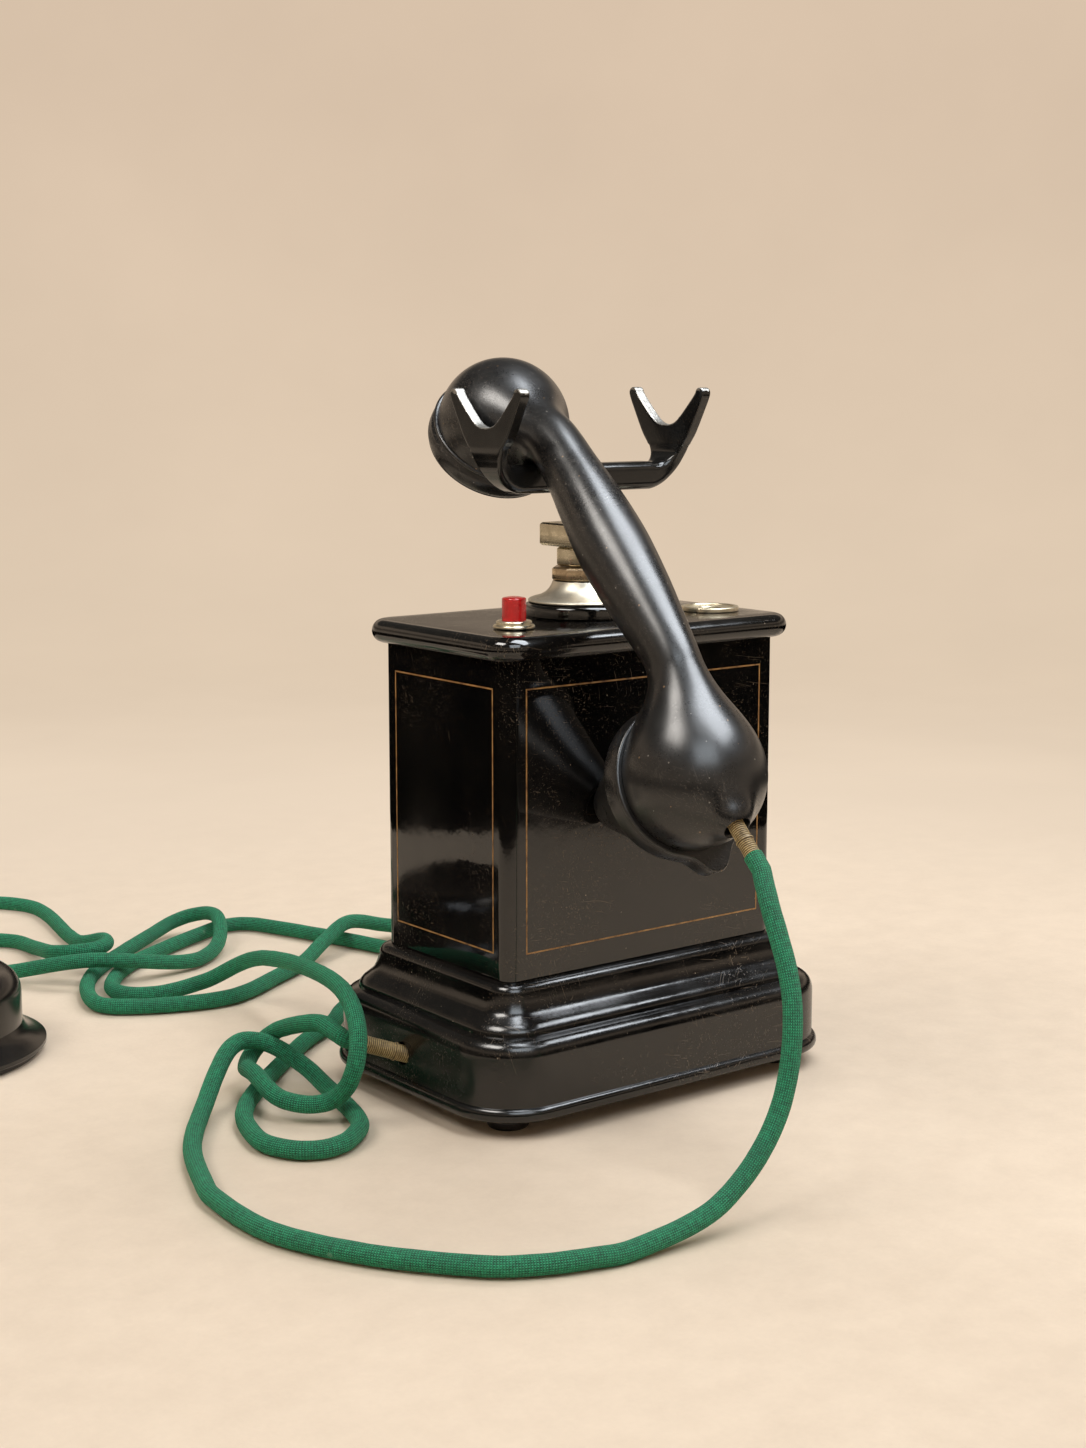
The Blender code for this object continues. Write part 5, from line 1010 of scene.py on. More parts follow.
def make_cords(surfaces):
    """The two braided cords and their bound ends."""
    boss_way = Vector((0, math.cos(BOSS_TURN), math.sin(BOSS_TURN)))
    boss_end = Vector((0, BOSS_Y, BOSS_Z))
    whip_start = boss_end - boss_way * (BOSS_BORE_DEPTH - SEAT_GAP)
    whip_end = boss_end + boss_way * HANDSET_WHIPPING_LENGTH
    whipping = wound("handset_cord_end", HANDSET_WHIPPING_RADIUS, whip_start, whip_end, surfaces["thread"], 0.62)
    seat(whipping, HANDSET_FRAME)
    settle(whipping, "handset", "thread", "handset_whipping")

    start = CASE_FRAME.inverted() @ (HANDSET_FRAME @ (whip_end + boss_way * CORD_END_GAP))
    start_way = (HANDSET_TURN @ boss_way).normalized()
    wall_y = HALF_DEPTH + BASE_FLARE
    bush_end = (REAR_EXIT_X, wall_y + BUSH_LENGTH + CORD_END_GAP, REAR_EXIT_Z)
    path = case_path(start, HANDSET_CORD_POINTS, bush_end, start_way, Vector((0, -1, 0)))
    cord = cord_mesh("handset_braid", path, surfaces["braid"])
    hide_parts("handset_cord")
    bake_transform(cord)

    line_start = Vector(LINE_CORD_POINTS[0])
    exit_point = Vector((-HALF_WIDTH - BASE_FLARE, LINE_EXIT_Y, LINE_EXIT_Z))
    way = (line_start - exit_point).normalized()
    inner = exit_point - way * LINE_WHIPPING_INSIDE
    outer = line_start - way * CORD_END_GAP
    whipping = wound("line_cord_end", LINE_WHIPPING_RADIUS, inner, outer, surfaces["thread"], 0.30)
    seat(whipping, CASE_FRAME)
    settle(whipping, "case", "thread", "line_whipping")
    box_side = (BOX_X, BOX_Y + BOX_DRUM_RADIUS + CORD_END_GAP, BOX_CORD_Z)
    path = case_path(LINE_CORD_POINTS[0], LINE_CORD_POINTS[1:], box_side, way, Vector((0, -1, 0)))
    cord = cord_mesh("line_braid", path, surfaces["braid"])
    settle(cord, "case", "braid", "line_cord")
    box = make_line_box(surfaces)


def make_line_box(surfaces):
    """The round turned box that the line ends in."""
    at = CASE_FRAME @ Matrix.Translation((BOX_X, BOX_Y, 0))
    edge = BOX_FOOT_HEIGHT / 4
    foot_radius = BOX_RADIUS - BOX_FOOT_HEIGHT
    foot = turned(
        "box_foot",
        (
            (0, 0),
            (foot_radius - edge, 0),
            (foot_radius, edge),
            (foot_radius, BOX_FOOT_HEIGHT - edge),
            (foot_radius - edge, BOX_FOOT_HEIGHT),
            (0, BOX_FOOT_HEIGHT),
        ),
        surfaces["line_box"],
    )
    low = BOX_FOOT_HEIGHT + SEAT_GAP
    flare = smooth_points([
        (BOX_DRUM_RADIUS + (BOX_RADIUS - BOX_DRUM_RADIUS) * out, low + BOX_FLARE_HEIGHT * up, 0)
        for out, up in BOX_FLARE_SHARES[1:]
    ], SMOOTH_STEPS)
    shoulder = arc(
        (BOX_DRUM_RADIUS - BOX_SHOULDER, BOX_HEIGHT - BOX_SHOULDER), BOX_SHOULDER, 0, 90, 16,
    )
    lip = [(0, low), (BOX_RADIUS - edge, low), (BOX_RADIUS, low + edge)]
    profile = lip + [(point.x, point.y) for point in flare] + shoulder + [(0, BOX_HEIGHT)]
    cover = turned("box_cover", profile, surfaces["line_box"])
    made = []
    for piece, node in ((foot, "line_box_base"), (cover, "line_box_cover")):
        seat(piece, at)
        made.append(settle(piece, "case", "line_box", node))
    return made


# The telephone's own pieces


def smooth_profile(shares, across, low, height):
    """A smooth profile through (share of across, share of height) points."""
    points = [(across * out, low + height * up, 0) for out, up in shares]
    return [(point.x, point.y) for point in smooth_points(points, SMOOTH_STEPS)]


def make_base(surfaces):
    """The moulded base with its crisp shoulder line and bottom bead."""
    low = FOOT_HEIGHT
    roll = smooth_profile(BASE_ROLL_SHARES, BASE_FLARE, low, BASE_HEIGHT)
    shoulder = smooth_profile(BASE_SHOULDER_SHARES, BASE_FLARE, low, BASE_HEIGHT)
    bead = smooth_profile(BASE_BEAD_SHARES, BASE_FLARE, low, BASE_HEIGHT)
    inside = BASE_FLARE - BASE_WALL
    loop = (
        [(-BASE_TOP_FLANGE, BASE_TOP)]
        + roll
        + shoulder[1:]
        + bead
        + [
            (inside, low),
            (inside, low + BASE_HEIGHT / 2),
            (-BASE_TOP_FLANGE, BASE_TOP - BASE_HEIGHT / 4),
        ]
    )
    base = moulding("base_shell", loop, surfaces["base_lacquer"], loop=True)
    wall_x = -HALF_WIDTH - BASE_FLARE
    wall_y = HALF_DEPTH + BASE_FLARE
    holes = (
        ("line_hole", (wall_x - CUT_OVERRUN, LINE_EXIT_Y), (wall_x + BASE_WALL + CUT_OVERRUN, LINE_EXIT_Y), LINE_EXIT_Z),
        ("rear_hole", (REAR_EXIT_X, wall_y + CUT_OVERRUN), (REAR_EXIT_X, wall_y - BASE_WALL - CUT_OVERRUN), REAR_EXIT_Z),
    )
    for name, start, end, height in holes:
        combine(base, rod(name, CORD_HOLE_RADIUS, (*start, height), (*end, height), surfaces["lacquer"], 64), "DIFFERENCE")
    resharpen(base)
    seat(base, CASE_FRAME)
    settle(base, "case", "lacquer", "base_moulding")

    edge = FOOT_PAD_RADIUS / 8
    top = FOOT_HEIGHT - SEAT_GAP
    profile = (
        (0, 0),
        (FOOT_PAD_RADIUS - edge, 0),
        (FOOT_PAD_RADIUS - edge / 3, edge / 3),
        (FOOT_PAD_RADIUS, edge),
        (FOOT_PAD_RADIUS, FOOT_PAD_HEIGHT),
        (FOOT_RADIUS - edge, FOOT_PAD_HEIGHT + edge / 2),
        (FOOT_RADIUS - edge / 4, FOOT_PAD_HEIGHT + edge * 3 / 4),
        (FOOT_RADIUS, FOOT_PAD_HEIGHT + edge),
        (FOOT_RADIUS, top - edge),
        (FOOT_RADIUS - edge, top),
        (0, top),
    )
    foot_x = HALF_WIDTH + BASE_FLARE - FOOT_INSET
    foot_y = HALF_DEPTH + BASE_FLARE - FOOT_INSET
    for front, side_y in (("front", -1), ("rear", 1)):
        for hand, side_x in (("left", -1), ("right", 1)):
            foot = turned(f"turned_foot_{front}_{hand}", profile, surfaces["foot"], 64)
            seat(foot, CASE_FRAME @ Matrix.Translation((side_x * foot_x, side_y * foot_y, 0)))
            settle(foot, "case", "foot", f"foot_{front}_{hand}")


def stripe(name, half, low, high, matrix, surface):
    """A thin painted rectangle of line, its corners square, on the face that the matrix gives."""
    outer = ((-half, low), (half, low), (half, high), (-half, high))
    width = STRIPE_WIDTH
    inner = ((-half + width, low + width), (half - width, low + width), (half - width, high - width), (-half + width, high - width))
    bm = bmesh.new()
    rings = []
    for points in (outer, inner):
        for depth in (0, STRIPE_PROUD):
            rings.append([bm.verts.new((x, -depth, z)) for x, z in points])
    outer_back, outer_front, inner_back, inner_front = rings
    order = (outer_back, outer_front, inner_front, inner_back, outer_back)
    for here, there in zip(order, order[1:]):
        for i in range(4):
            j = (i + 1) % 4
            bm.faces.new((here[i], here[j], there[j], there[i]))
    return seat(make_mesh(name, bm, surface), matrix)


def make_body(surfaces):
    """The lacquered case with its gold lines, and the lid."""
    loop = [
        (0, BODY_BOTTOM),
        (0, BODY_TOP),
        (-BODY_FLANGE, BODY_TOP),
        (-BODY_FLANGE, BODY_TOP - BODY_WALL),
        (-BODY_WALL, BODY_TOP - BODY_WALL),
        (-BODY_WALL, BODY_BOTTOM + BODY_WALL),
        (-BODY_FLANGE, BODY_BOTTOM + BODY_WALL),
        (-BODY_FLANGE, BODY_BOTTOM),
    ]
    body = moulding("case_shell", loop, surfaces["lacquer"], loop=True)
    seat(body, CASE_FRAME)
    settle(body, "case", "lacquer", "body_shell")
    low = BODY_BOTTOM + STRIPE_LOW
    high = BODY_TOP - STRIPE_HIGH
    faces = (("front", 0, HALF_WIDTH, HALF_DEPTH), ("right", 1, HALF_DEPTH, HALF_WIDTH),
             ("back", 2, HALF_WIDTH, HALF_DEPTH), ("left", 3, HALF_DEPTH, HALF_WIDTH))
    for name, quarter, half, out in faces:
        matrix = CASE_FRAME @ Matrix.Rotation(math.pi / 2 * quarter, 4, "Z") @ Matrix.Translation((0, -out, 0))
        line = stripe(f"gold_line_{name}", half - STRIPE_MARGIN, low, high, matrix, surfaces["gold"])
        settle(line, "case", "lacquer")

    nose = LID_THICKNESS / 2
    lip_out = -BODY_FLANGE - SEAT_GAP
    edge = [
        (LID_OVERHANG - nose + across, LID_BOTTOM + nose + up)
        for across, up in arc((0, 0), nose, -90, 90, 24)
    ]
    profile = [(lip_out - LID_LIP, LID_BOTTOM - LID_LIP), (lip_out, LID_BOTTOM - LID_LIP), (lip_out, LID_BOTTOM)]
    lid = moulding("lid_cover", profile + edge, surfaces["lid_lacquer"])
    below = LID_BOTTOM - LID_LIP - CUT_OVERRUN
    above = LID_TOP + CUT_OVERRUN
    hollow = moulding(
        "lid_hollow",
        [(lip_out - LID_LIP, below), (lip_out - LID_LIP, LID_BOTTOM)],
        surfaces["lacquer"],
    )
    combine(lid, hollow, "DIFFERENCE")
    holes = (
        ("guide_hole", 0, 0, BORE_RADIUS),
        ("button_hole", BUTTON_X, BUTTON_Y, BUTTON_RADIUS + SLIDE_GAP + BUTTON_TUBE_WALL + SLIDE_GAP),
        ("socket_hole", SOCKET_X, SOCKET_Y, SOCKET_BORE + SOCKET_TUBE_WALL + SLIDE_GAP),
    )
    for name, x, y, radius in holes:
        combine(lid, rod(name, radius, (x, y, below), (x, y, above), surfaces["lacquer"], 64), "DIFFERENCE")
    resharpen(lid)
    seat(lid, CASE_FRAME)
    settle(lid, "case", "lacquer", "lid")


def flats(radius, low, height, sides):
    """A many-sided block's rings with small chamfers."""
    narrow = radius - PILLAR_CHAMFER
    return [
        circle(narrow, low, ROUND, sides),
        circle(radius, low + PILLAR_CHAMFER, ROUND, sides),
        circle(radius, low + height - PILLAR_CHAMFER, ROUND, sides),
        circle(narrow, low + height, ROUND, sides),
    ]


def make_pillar(surfaces):
    """The plinth, the nickel bell, the eight-sided collar and column and the square nut."""
    foot = PLINTH_HEIGHT * LIP_SHARE
    top = PLINTH_BOTTOM + PLINTH_HEIGHT
    side = arc((PLINTH_RADIUS - foot, top - foot), foot, 0, 90, 10)
    profile = [(BORE_RADIUS, PLINTH_BOTTOM), (PLINTH_RADIUS - foot / 4, PLINTH_BOTTOM), (PLINTH_RADIUS, PLINTH_BOTTOM + foot / 4)]
    plinth = turned("plinth_disc", profile + side + [(BORE_RADIUS, top)], surfaces["lacquer"], loop=True)
    seat(plinth, CASE_FRAME)
    settle(plinth, "case", "enamel", "plinth")

    rise = BELL_HEIGHT - BELL_LIP_HEIGHT
    spread = BELL_LIP_RADIUS - BELL_NECK_RADIUS
    sweep = smooth_profile(BELL_PROFILE_SHARES, spread, BELL_BOTTOM + BELL_LIP_HEIGHT, rise)
    sweep = [(BELL_NECK_RADIUS + across, up) for across, up in sweep]
    lip = BELL_LIP_HEIGHT / 2
    edge = arc((BELL_LIP_RADIUS - lip, BELL_BOTTOM + lip), lip, -90, 60, 8)
    bell = turned(
        "bell_shape",
        [(BORE_RADIUS, BELL_BOTTOM)] + edge + sweep[2:] + [(BORE_RADIUS, BELL_BOTTOM + BELL_HEIGHT)],
        surfaces["bell_nickel"],
        loop=True,
    )
    seat(bell, CASE_FRAME)
    settle(bell, "case", "nickel", "bell_flange")

    low = COLLAR_BOTTOM
    high = COLLAR_BOTTOM + COLLAR_HEIGHT
    rings = [circle(BORE_RADIUS, low)] + flats(COLLAR_HALF_WIDTH, low, COLLAR_HEIGHT, 8) + [circle(BORE_RADIUS, high)]
    collar = skin("collar_ring", rings, surfaces["copper_edge"], loop=True)
    high = COLUMN_BOTTOM + COLUMN_HEIGHT
    rings = [circle(ROD_BORE, COLUMN_BOTTOM)] + flats(COLUMN_HALF_WIDTH, COLUMN_BOTTOM, COLUMN_HEIGHT, 8)
    column = skin("column_block", rings + [circle(ROD_BORE, high)], surfaces["nickel"], loop=True)
    rings = [circle(ROD_BORE, NUT_BOTTOM)] + flats(PILLAR_NUT_HALF_WIDTH, NUT_BOTTOM, PILLAR_NUT_HEIGHT, 4)
    nut = skin("nut_block", rings + [circle(ROD_BORE, NUT_TOP)], surfaces["nickel"], loop=True)
    for piece, node in ((collar, "collar"), (column, "column"), (nut, "pillar_nut")):
        soften(piece, PILLAR_CHAMFER / 2, 2)
        resharpen(piece)
        seat(piece, CASE_FRAME)
        settle(piece, "case", "nickel", node)


def bar_sections():
    """Half of the cradle bar: (middle x, middle z, lean, width, thickness) from the centre out."""
    sections = [(0.0, BAR_MIDDLE, 0.0, BAR_DEPTH, BAR_HEIGHT)]
    for share in (1 / 4, 1 / 2, 3 / 4):
        sections.append((BAR_HALF_RUN * share, BAR_MIDDLE, 0.0, BAR_DEPTH, BAR_HEIGHT))
    steps = 24
    for i in range(steps + 1):
        share = i / steps
        lean = math.pi / 2 * share
        sections.append((
            BAR_HALF_RUN + BEND_RADIUS * math.sin(lean),
            BAR_MIDDLE + BEND_RADIUS * (1 - math.cos(lean)),
            lean,
            BAR_DEPTH + (2 * FORK_HALF_SPREAD * BEND_SPREAD_SHARE - BAR_DEPTH) * share ** 2,
            BAR_HEIGHT + (FORK_THICKNESS - BAR_HEIGHT) * min(1.0, share * 4 / 3),
        ))
    return sections


def bar_ring(x, z, lean, width, thickness, side):
    edge = min(BAR_EDGE, thickness / 2 - LEAST_EDGE, width / 2 - LEAST_EDGE)
    points = []
    for across, up, _ in rounded_rectangle(width / 2, thickness / 2, edge, 0):
        points.append((side * (x - up * math.sin(lean)), across, z + up * math.cos(lean)))
    return points


def fork_outline():
    outer = [(across, up, 0) for across, up in FORK_OUTER_SHARES]
    tip = [(across, up, 0) for across, up in FORK_TIP_SHARES]
    inner = [(across, up, 0) for across, up in FORK_INNER_SHARES]
    half = smooth_points(outer + tip + inner, 4)
    half = [(FORK_HALF_SPREAD * point.x, FORK_BOTTOM + FORK_HEIGHT * point.y) for point in half]
    return half + [(-across, up) for across, up in reversed(half)]


def paint_cradle_wear(obj):
    """Marks where the enamel is worn: the notches, the tips, the forks' edges and the bar's top edges."""
    notch = FORK_BOTTOM + FORK_HEIGHT * FORK_INNER_SHARES[-1][1]
    top = FORK_BOTTOM + FORK_HEIGHT
    rise = (top - notch) / (FORK_HALF_SPREAD * 0.83)
    marks = []
    for vertex, normal in zip(obj.data.vertices, obj.data.vertex_normals):
        x, y, z = vertex.co
        face = normal.vector
        inner_line = notch + abs(y) * rise
        amount = 0.0
        if z > FORK_BOTTOM:
            inward = max(0.0, face.z) * (1.0 - min(1.0, abs(z - inner_line) / 0.009))
            edge = (1 - max(abs(face.x), abs(face.y), abs(face.z))) * 1.2
            tip = max(0.0, 1.0 - (top - z) / 0.0045)
            amount = max(2.3 * inward, 0.95 * edge, 0.85 * tip)
        else:
            edge = 1 - max(abs(face.x), abs(face.y), abs(face.z))
            amount = 0.55 * edge + (0.12 if face.z > 0.3 else 0.0)
        marks.append(amount)
    mask = obj.data.attributes.new("wear", "FLOAT", "POINT")
    mask.data.foreach_set("value", marks)


def make_cradle(surfaces):
    """The enamelled bar with its two forks."""
    sections = bar_sections()
    rings = [bar_ring(*section, -1) for section in reversed(sections)]
    rings += [bar_ring(*section, 1) for section in sections[1:]]
    bar = skin("fork_bar", rings, surfaces["enamel"])
    outline = fork_outline()
    for hand, side in (("left", -1), ("right", 1)):
        near = side * FORK_X - FORK_THICKNESS / 2
        far = side * FORK_X + FORK_THICKNESS / 2
        plate = skin(f"{hand}_plate", [[(x, y, z) for y, z in outline] for x in (near, far)], surfaces["enamel"])
        soften(plate, FORK_EDGE, 3)
        combine(bar, plate, "UNION")
    low = BAR_BOTTOM - BAR_BOSS_HEIGHT
    combine(bar, rod("boss", BAR_BOSS_RADIUS, (0, 0, low), (0, 0, BAR_MIDDLE), surfaces["enamel"], 64), "UNION")
    hole = rod("seat_hole", ROD_BORE, (0, 0, low - CUT_OVERRUN), (0, 0, BAR_MIDDLE), surfaces["enamel"], 64)
    combine(bar, hole, "DIFFERENCE")
    remesh(bar, REMESH_SIZE / 2, 5)
    paint_cradle_wear(bar)
    seat(bar, CASE_FRAME)
    settle(bar, "cradle", "enamel", "cradle")


def remesh(obj, size, rounds):
    """Turns the union of shapes into one even skin, and eases its creases."""
    grid = obj.modifiers.new("Grid", "REMESH")
    grid.mode = "VOXEL"
    grid.voxel_size = size
    ease = obj.modifiers.new("Ease", "SMOOTH")
    ease.factor = 0.5
    ease.iterations = rounds
    apply_modifiers(obj)
    return resharpen(obj, 80.0)


def make_button(surfaces):
    """The red button in its stepped nickel ring."""
    at = CASE_FRAME @ Matrix.Translation((BUTTON_X, BUTTON_Y, 0))
    bore = BUTTON_RADIUS + SLIDE_GAP
    low = LID_TOP + SEAT_GAP
    step = BUTTON_RING_HEIGHT / 3
    high = low + BUTTON_RING_HEIGHT
    flange = arc((BUTTON_RING_RADIUS - step, low + step / 2), step, -20, 80, 8)
    neck = arc((bore + step * 5 / 4, high - step * 3 / 4), step * 3 / 4, 0, 90, 8)
    profile = [(bore, low), (BUTTON_RING_RADIUS - step / 4, low)] + flange
    profile += [(bore + step * 2, low + step * 3 / 2)] + neck + [(bore, high)]
    ring = turned("button_collar", profile, surfaces["nickel"], 96, loop=True)
    seat(ring, at)
    settle(ring, "case", "nickel", "button_ring")
    bottom = high - BUTTON_SKIRT
    top = high + BUTTON_PROUD
    side = arc((BUTTON_RADIUS - BUTTON_EDGE, top - BUTTON_EDGE), BUTTON_EDGE, 0, 75, 8)
    crown = top + BUTTON_EDGE / 2
    profile = [(0, bottom), (BUTTON_RADIUS, bottom)] + side
    profile += [(BUTTON_RADIUS / 2, crown - BUTTON_EDGE / 8), (0, crown)]
    cap = turned("button_head", profile, surfaces["red_button"], 96)
    seat(cap, at)
    settle(cap, "button", "red_button", "button_cap")


def make_socket(surfaces):
    """The dished nickel plate of the socket."""
    at = CASE_FRAME @ Matrix.Translation((SOCKET_X, SOCKET_Y, 0))
    low = LID_TOP + SEAT_GAP
    rim = low + SOCKET_HEIGHT
    dish = low + SOCKET_HEIGHT / 2
    edge = SOCKET_HEIGHT / 3
    outer = arc((SOCKET_RADIUS - edge, rim - edge), edge, 0, 90, 6)
    inner = arc((SOCKET_DISH_RADIUS + edge, rim - edge), edge, 90, 180, 6)
    profile = [(SOCKET_BORE, low), (SOCKET_RADIUS, low)] + outer + inner
    profile += [((SOCKET_DISH_RADIUS + SOCKET_BORE) / 2, dish), (SOCKET_BORE + edge / 2, dish), (SOCKET_BORE, dish - edge / 2)]
    ring = turned("socket_plate", profile, surfaces["nickel"], 96, loop=True)
    seat(ring, at)
    settle(ring, "case", "nickel", "socket_ring")


def bulb(name, radius, surface):
    """A round-ended bar along +Z with its rear middle at the origin."""
    front = radius * BULB_FRONT_SHARE
    rear = arc((0, 0), radius, -85, 0, 30)
    nose = arc((0, front), radius, 0, 85, 30)
    return turned(name, [(0, -radius)] + rear + nose + [(0, front + radius)], surface)


def cap_matrix(y, z, tilt):
    return Matrix.Translation((0, y, z)) @ Matrix.Rotation(-math.pi / 2 - tilt, 4, "X")


def handle_stations():
    """The handle's bowed middle line, as (y, z, radius) in the handset's frame."""
    return smooth_points(
        [(MOUTH_Y * along, MOUTH_Z * down, MOUTH_BULB_RADIUS * radius) for along, down, radius in HANDLE_PATH_SHARES],
        HANDLE_STEPS,
    )


def handle_rings():
    """Rings square to the handle's bowed middle line."""
    path = handle_stations()
    rings = []
    for i, station in enumerate(path):
        before = path[max(i - 1, 0)]
        after = path[min(i + 1, len(path) - 1)]
        way = Vector((0, after.x - before.x, after.y - before.y)).normalized()
        out = Vector((0, -way.z, way.y))
        middle = Vector((0, station.x, station.y))
        ring = []
        for across, side, _ in circle(station.z, 0, 64):
            ring.append(middle + Vector((across, 0, 0)) + out * side)
        rings.append(ring)
    return rings


def capsule_field(points, start, end, start_radius, end_radius):
    """How far each point is from a round bar whose radius goes evenly from one end to the other."""
    start, way = np.array(start), np.array(end) - np.array(start)
    share = np.clip((points - start) @ way / (way @ way), 0.0, 1.0)
    gap = np.linalg.norm(points - start - share[:, None] * way, axis=1)
    return gap - (start_radius + (end_radius - start_radius) * share)


def soft_least(first, second, reach):
    """The smaller of two fields, with a soft valley between them."""
    overlap = np.maximum(reach - np.abs(first - second), 0.0) / reach
    return np.minimum(first, second) - overlap ** 2 * reach / 4


def handset_field(points):
    """How far each point is from the handset's moulded skin."""
    path = handle_stations()
    field = np.full(len(points), np.inf)
    for here, there in zip(path, path[1:]):
        start, end = (0, here.x, here.y), (0, there.x, there.y)
        field = np.minimum(field, capsule_field(points, start, end, here.z, there.z))
    for y, z, tilt, radius, reach in (
        (0, 0, EAR_TILT, EAR_BULB_RADIUS, EAR_BLEND),
        (MOUTH_Y, MOUTH_Z, MOUTH_TILT, MOUTH_BULB_RADIUS, MOUTH_BLEND),
    ):
        turn = cap_matrix(y, z, tilt)
        front = turn @ Vector((0, 0, radius * BULB_FRONT_SHARE))
        field = soft_least(field, capsule_field(points, (0, y, z), front, radius, radius), reach)
    boss_way = Vector((0, math.cos(BOSS_TURN), math.sin(BOSS_TURN)))
    boss_end = Vector((0, BOSS_Y, BOSS_Z))
    tip = boss_end - boss_way * (BOSS_RADIUS - BOSS_CROWN)
    boss = capsule_field(points, boss_end - boss_way * BOSS_LENGTH, tip, BOSS_RADIUS, BOSS_RADIUS)
    return soft_least(field, boss, BOSS_BLEND)


def settle_on_field(obj, field, rounds):
    """Moves the mesh's points onto the surface where the field is nought."""
    count = len(obj.data.vertices)
    flat = np.empty(count * 3)
    obj.data.vertices.foreach_get("co", flat)
    points = flat.reshape(count, 3)
    for _ in range(rounds):
        here = field(points)
        slope = np.empty_like(points)
        for axis in range(3):
            nudged = points.copy()
            nudged[:, axis] += FIELD_NUDGE
            slope[:, axis] = (field(nudged) - here) / FIELD_NUDGE
        steep = np.maximum((slope ** 2).sum(axis=1), 0.25)
        points = points - slope * (here / steep)[:, None]
    obj.data.vertices.foreach_set("co", points.ravel())
    obj.data.update()
    return obj


def lugged_ring(radius, height, weight):
    """A ring that swells out into the finger lug on its lower side."""
    ring = []
    for i in range(ROUND * 2):
        angle = math.tau * i / (ROUND * 2)
        away = abs((angle - LUG_TURN + math.pi) % math.tau - math.pi) * MOUTH_CAP_RADIUS
        swell = LUG_REACH * weight * math.exp(-((away / LUG_SPREAD) ** LUG_SHAPE))
        ring.append(((radius + swell) * math.cos(angle), (radius + swell) * math.sin(angle), height))
    return ring


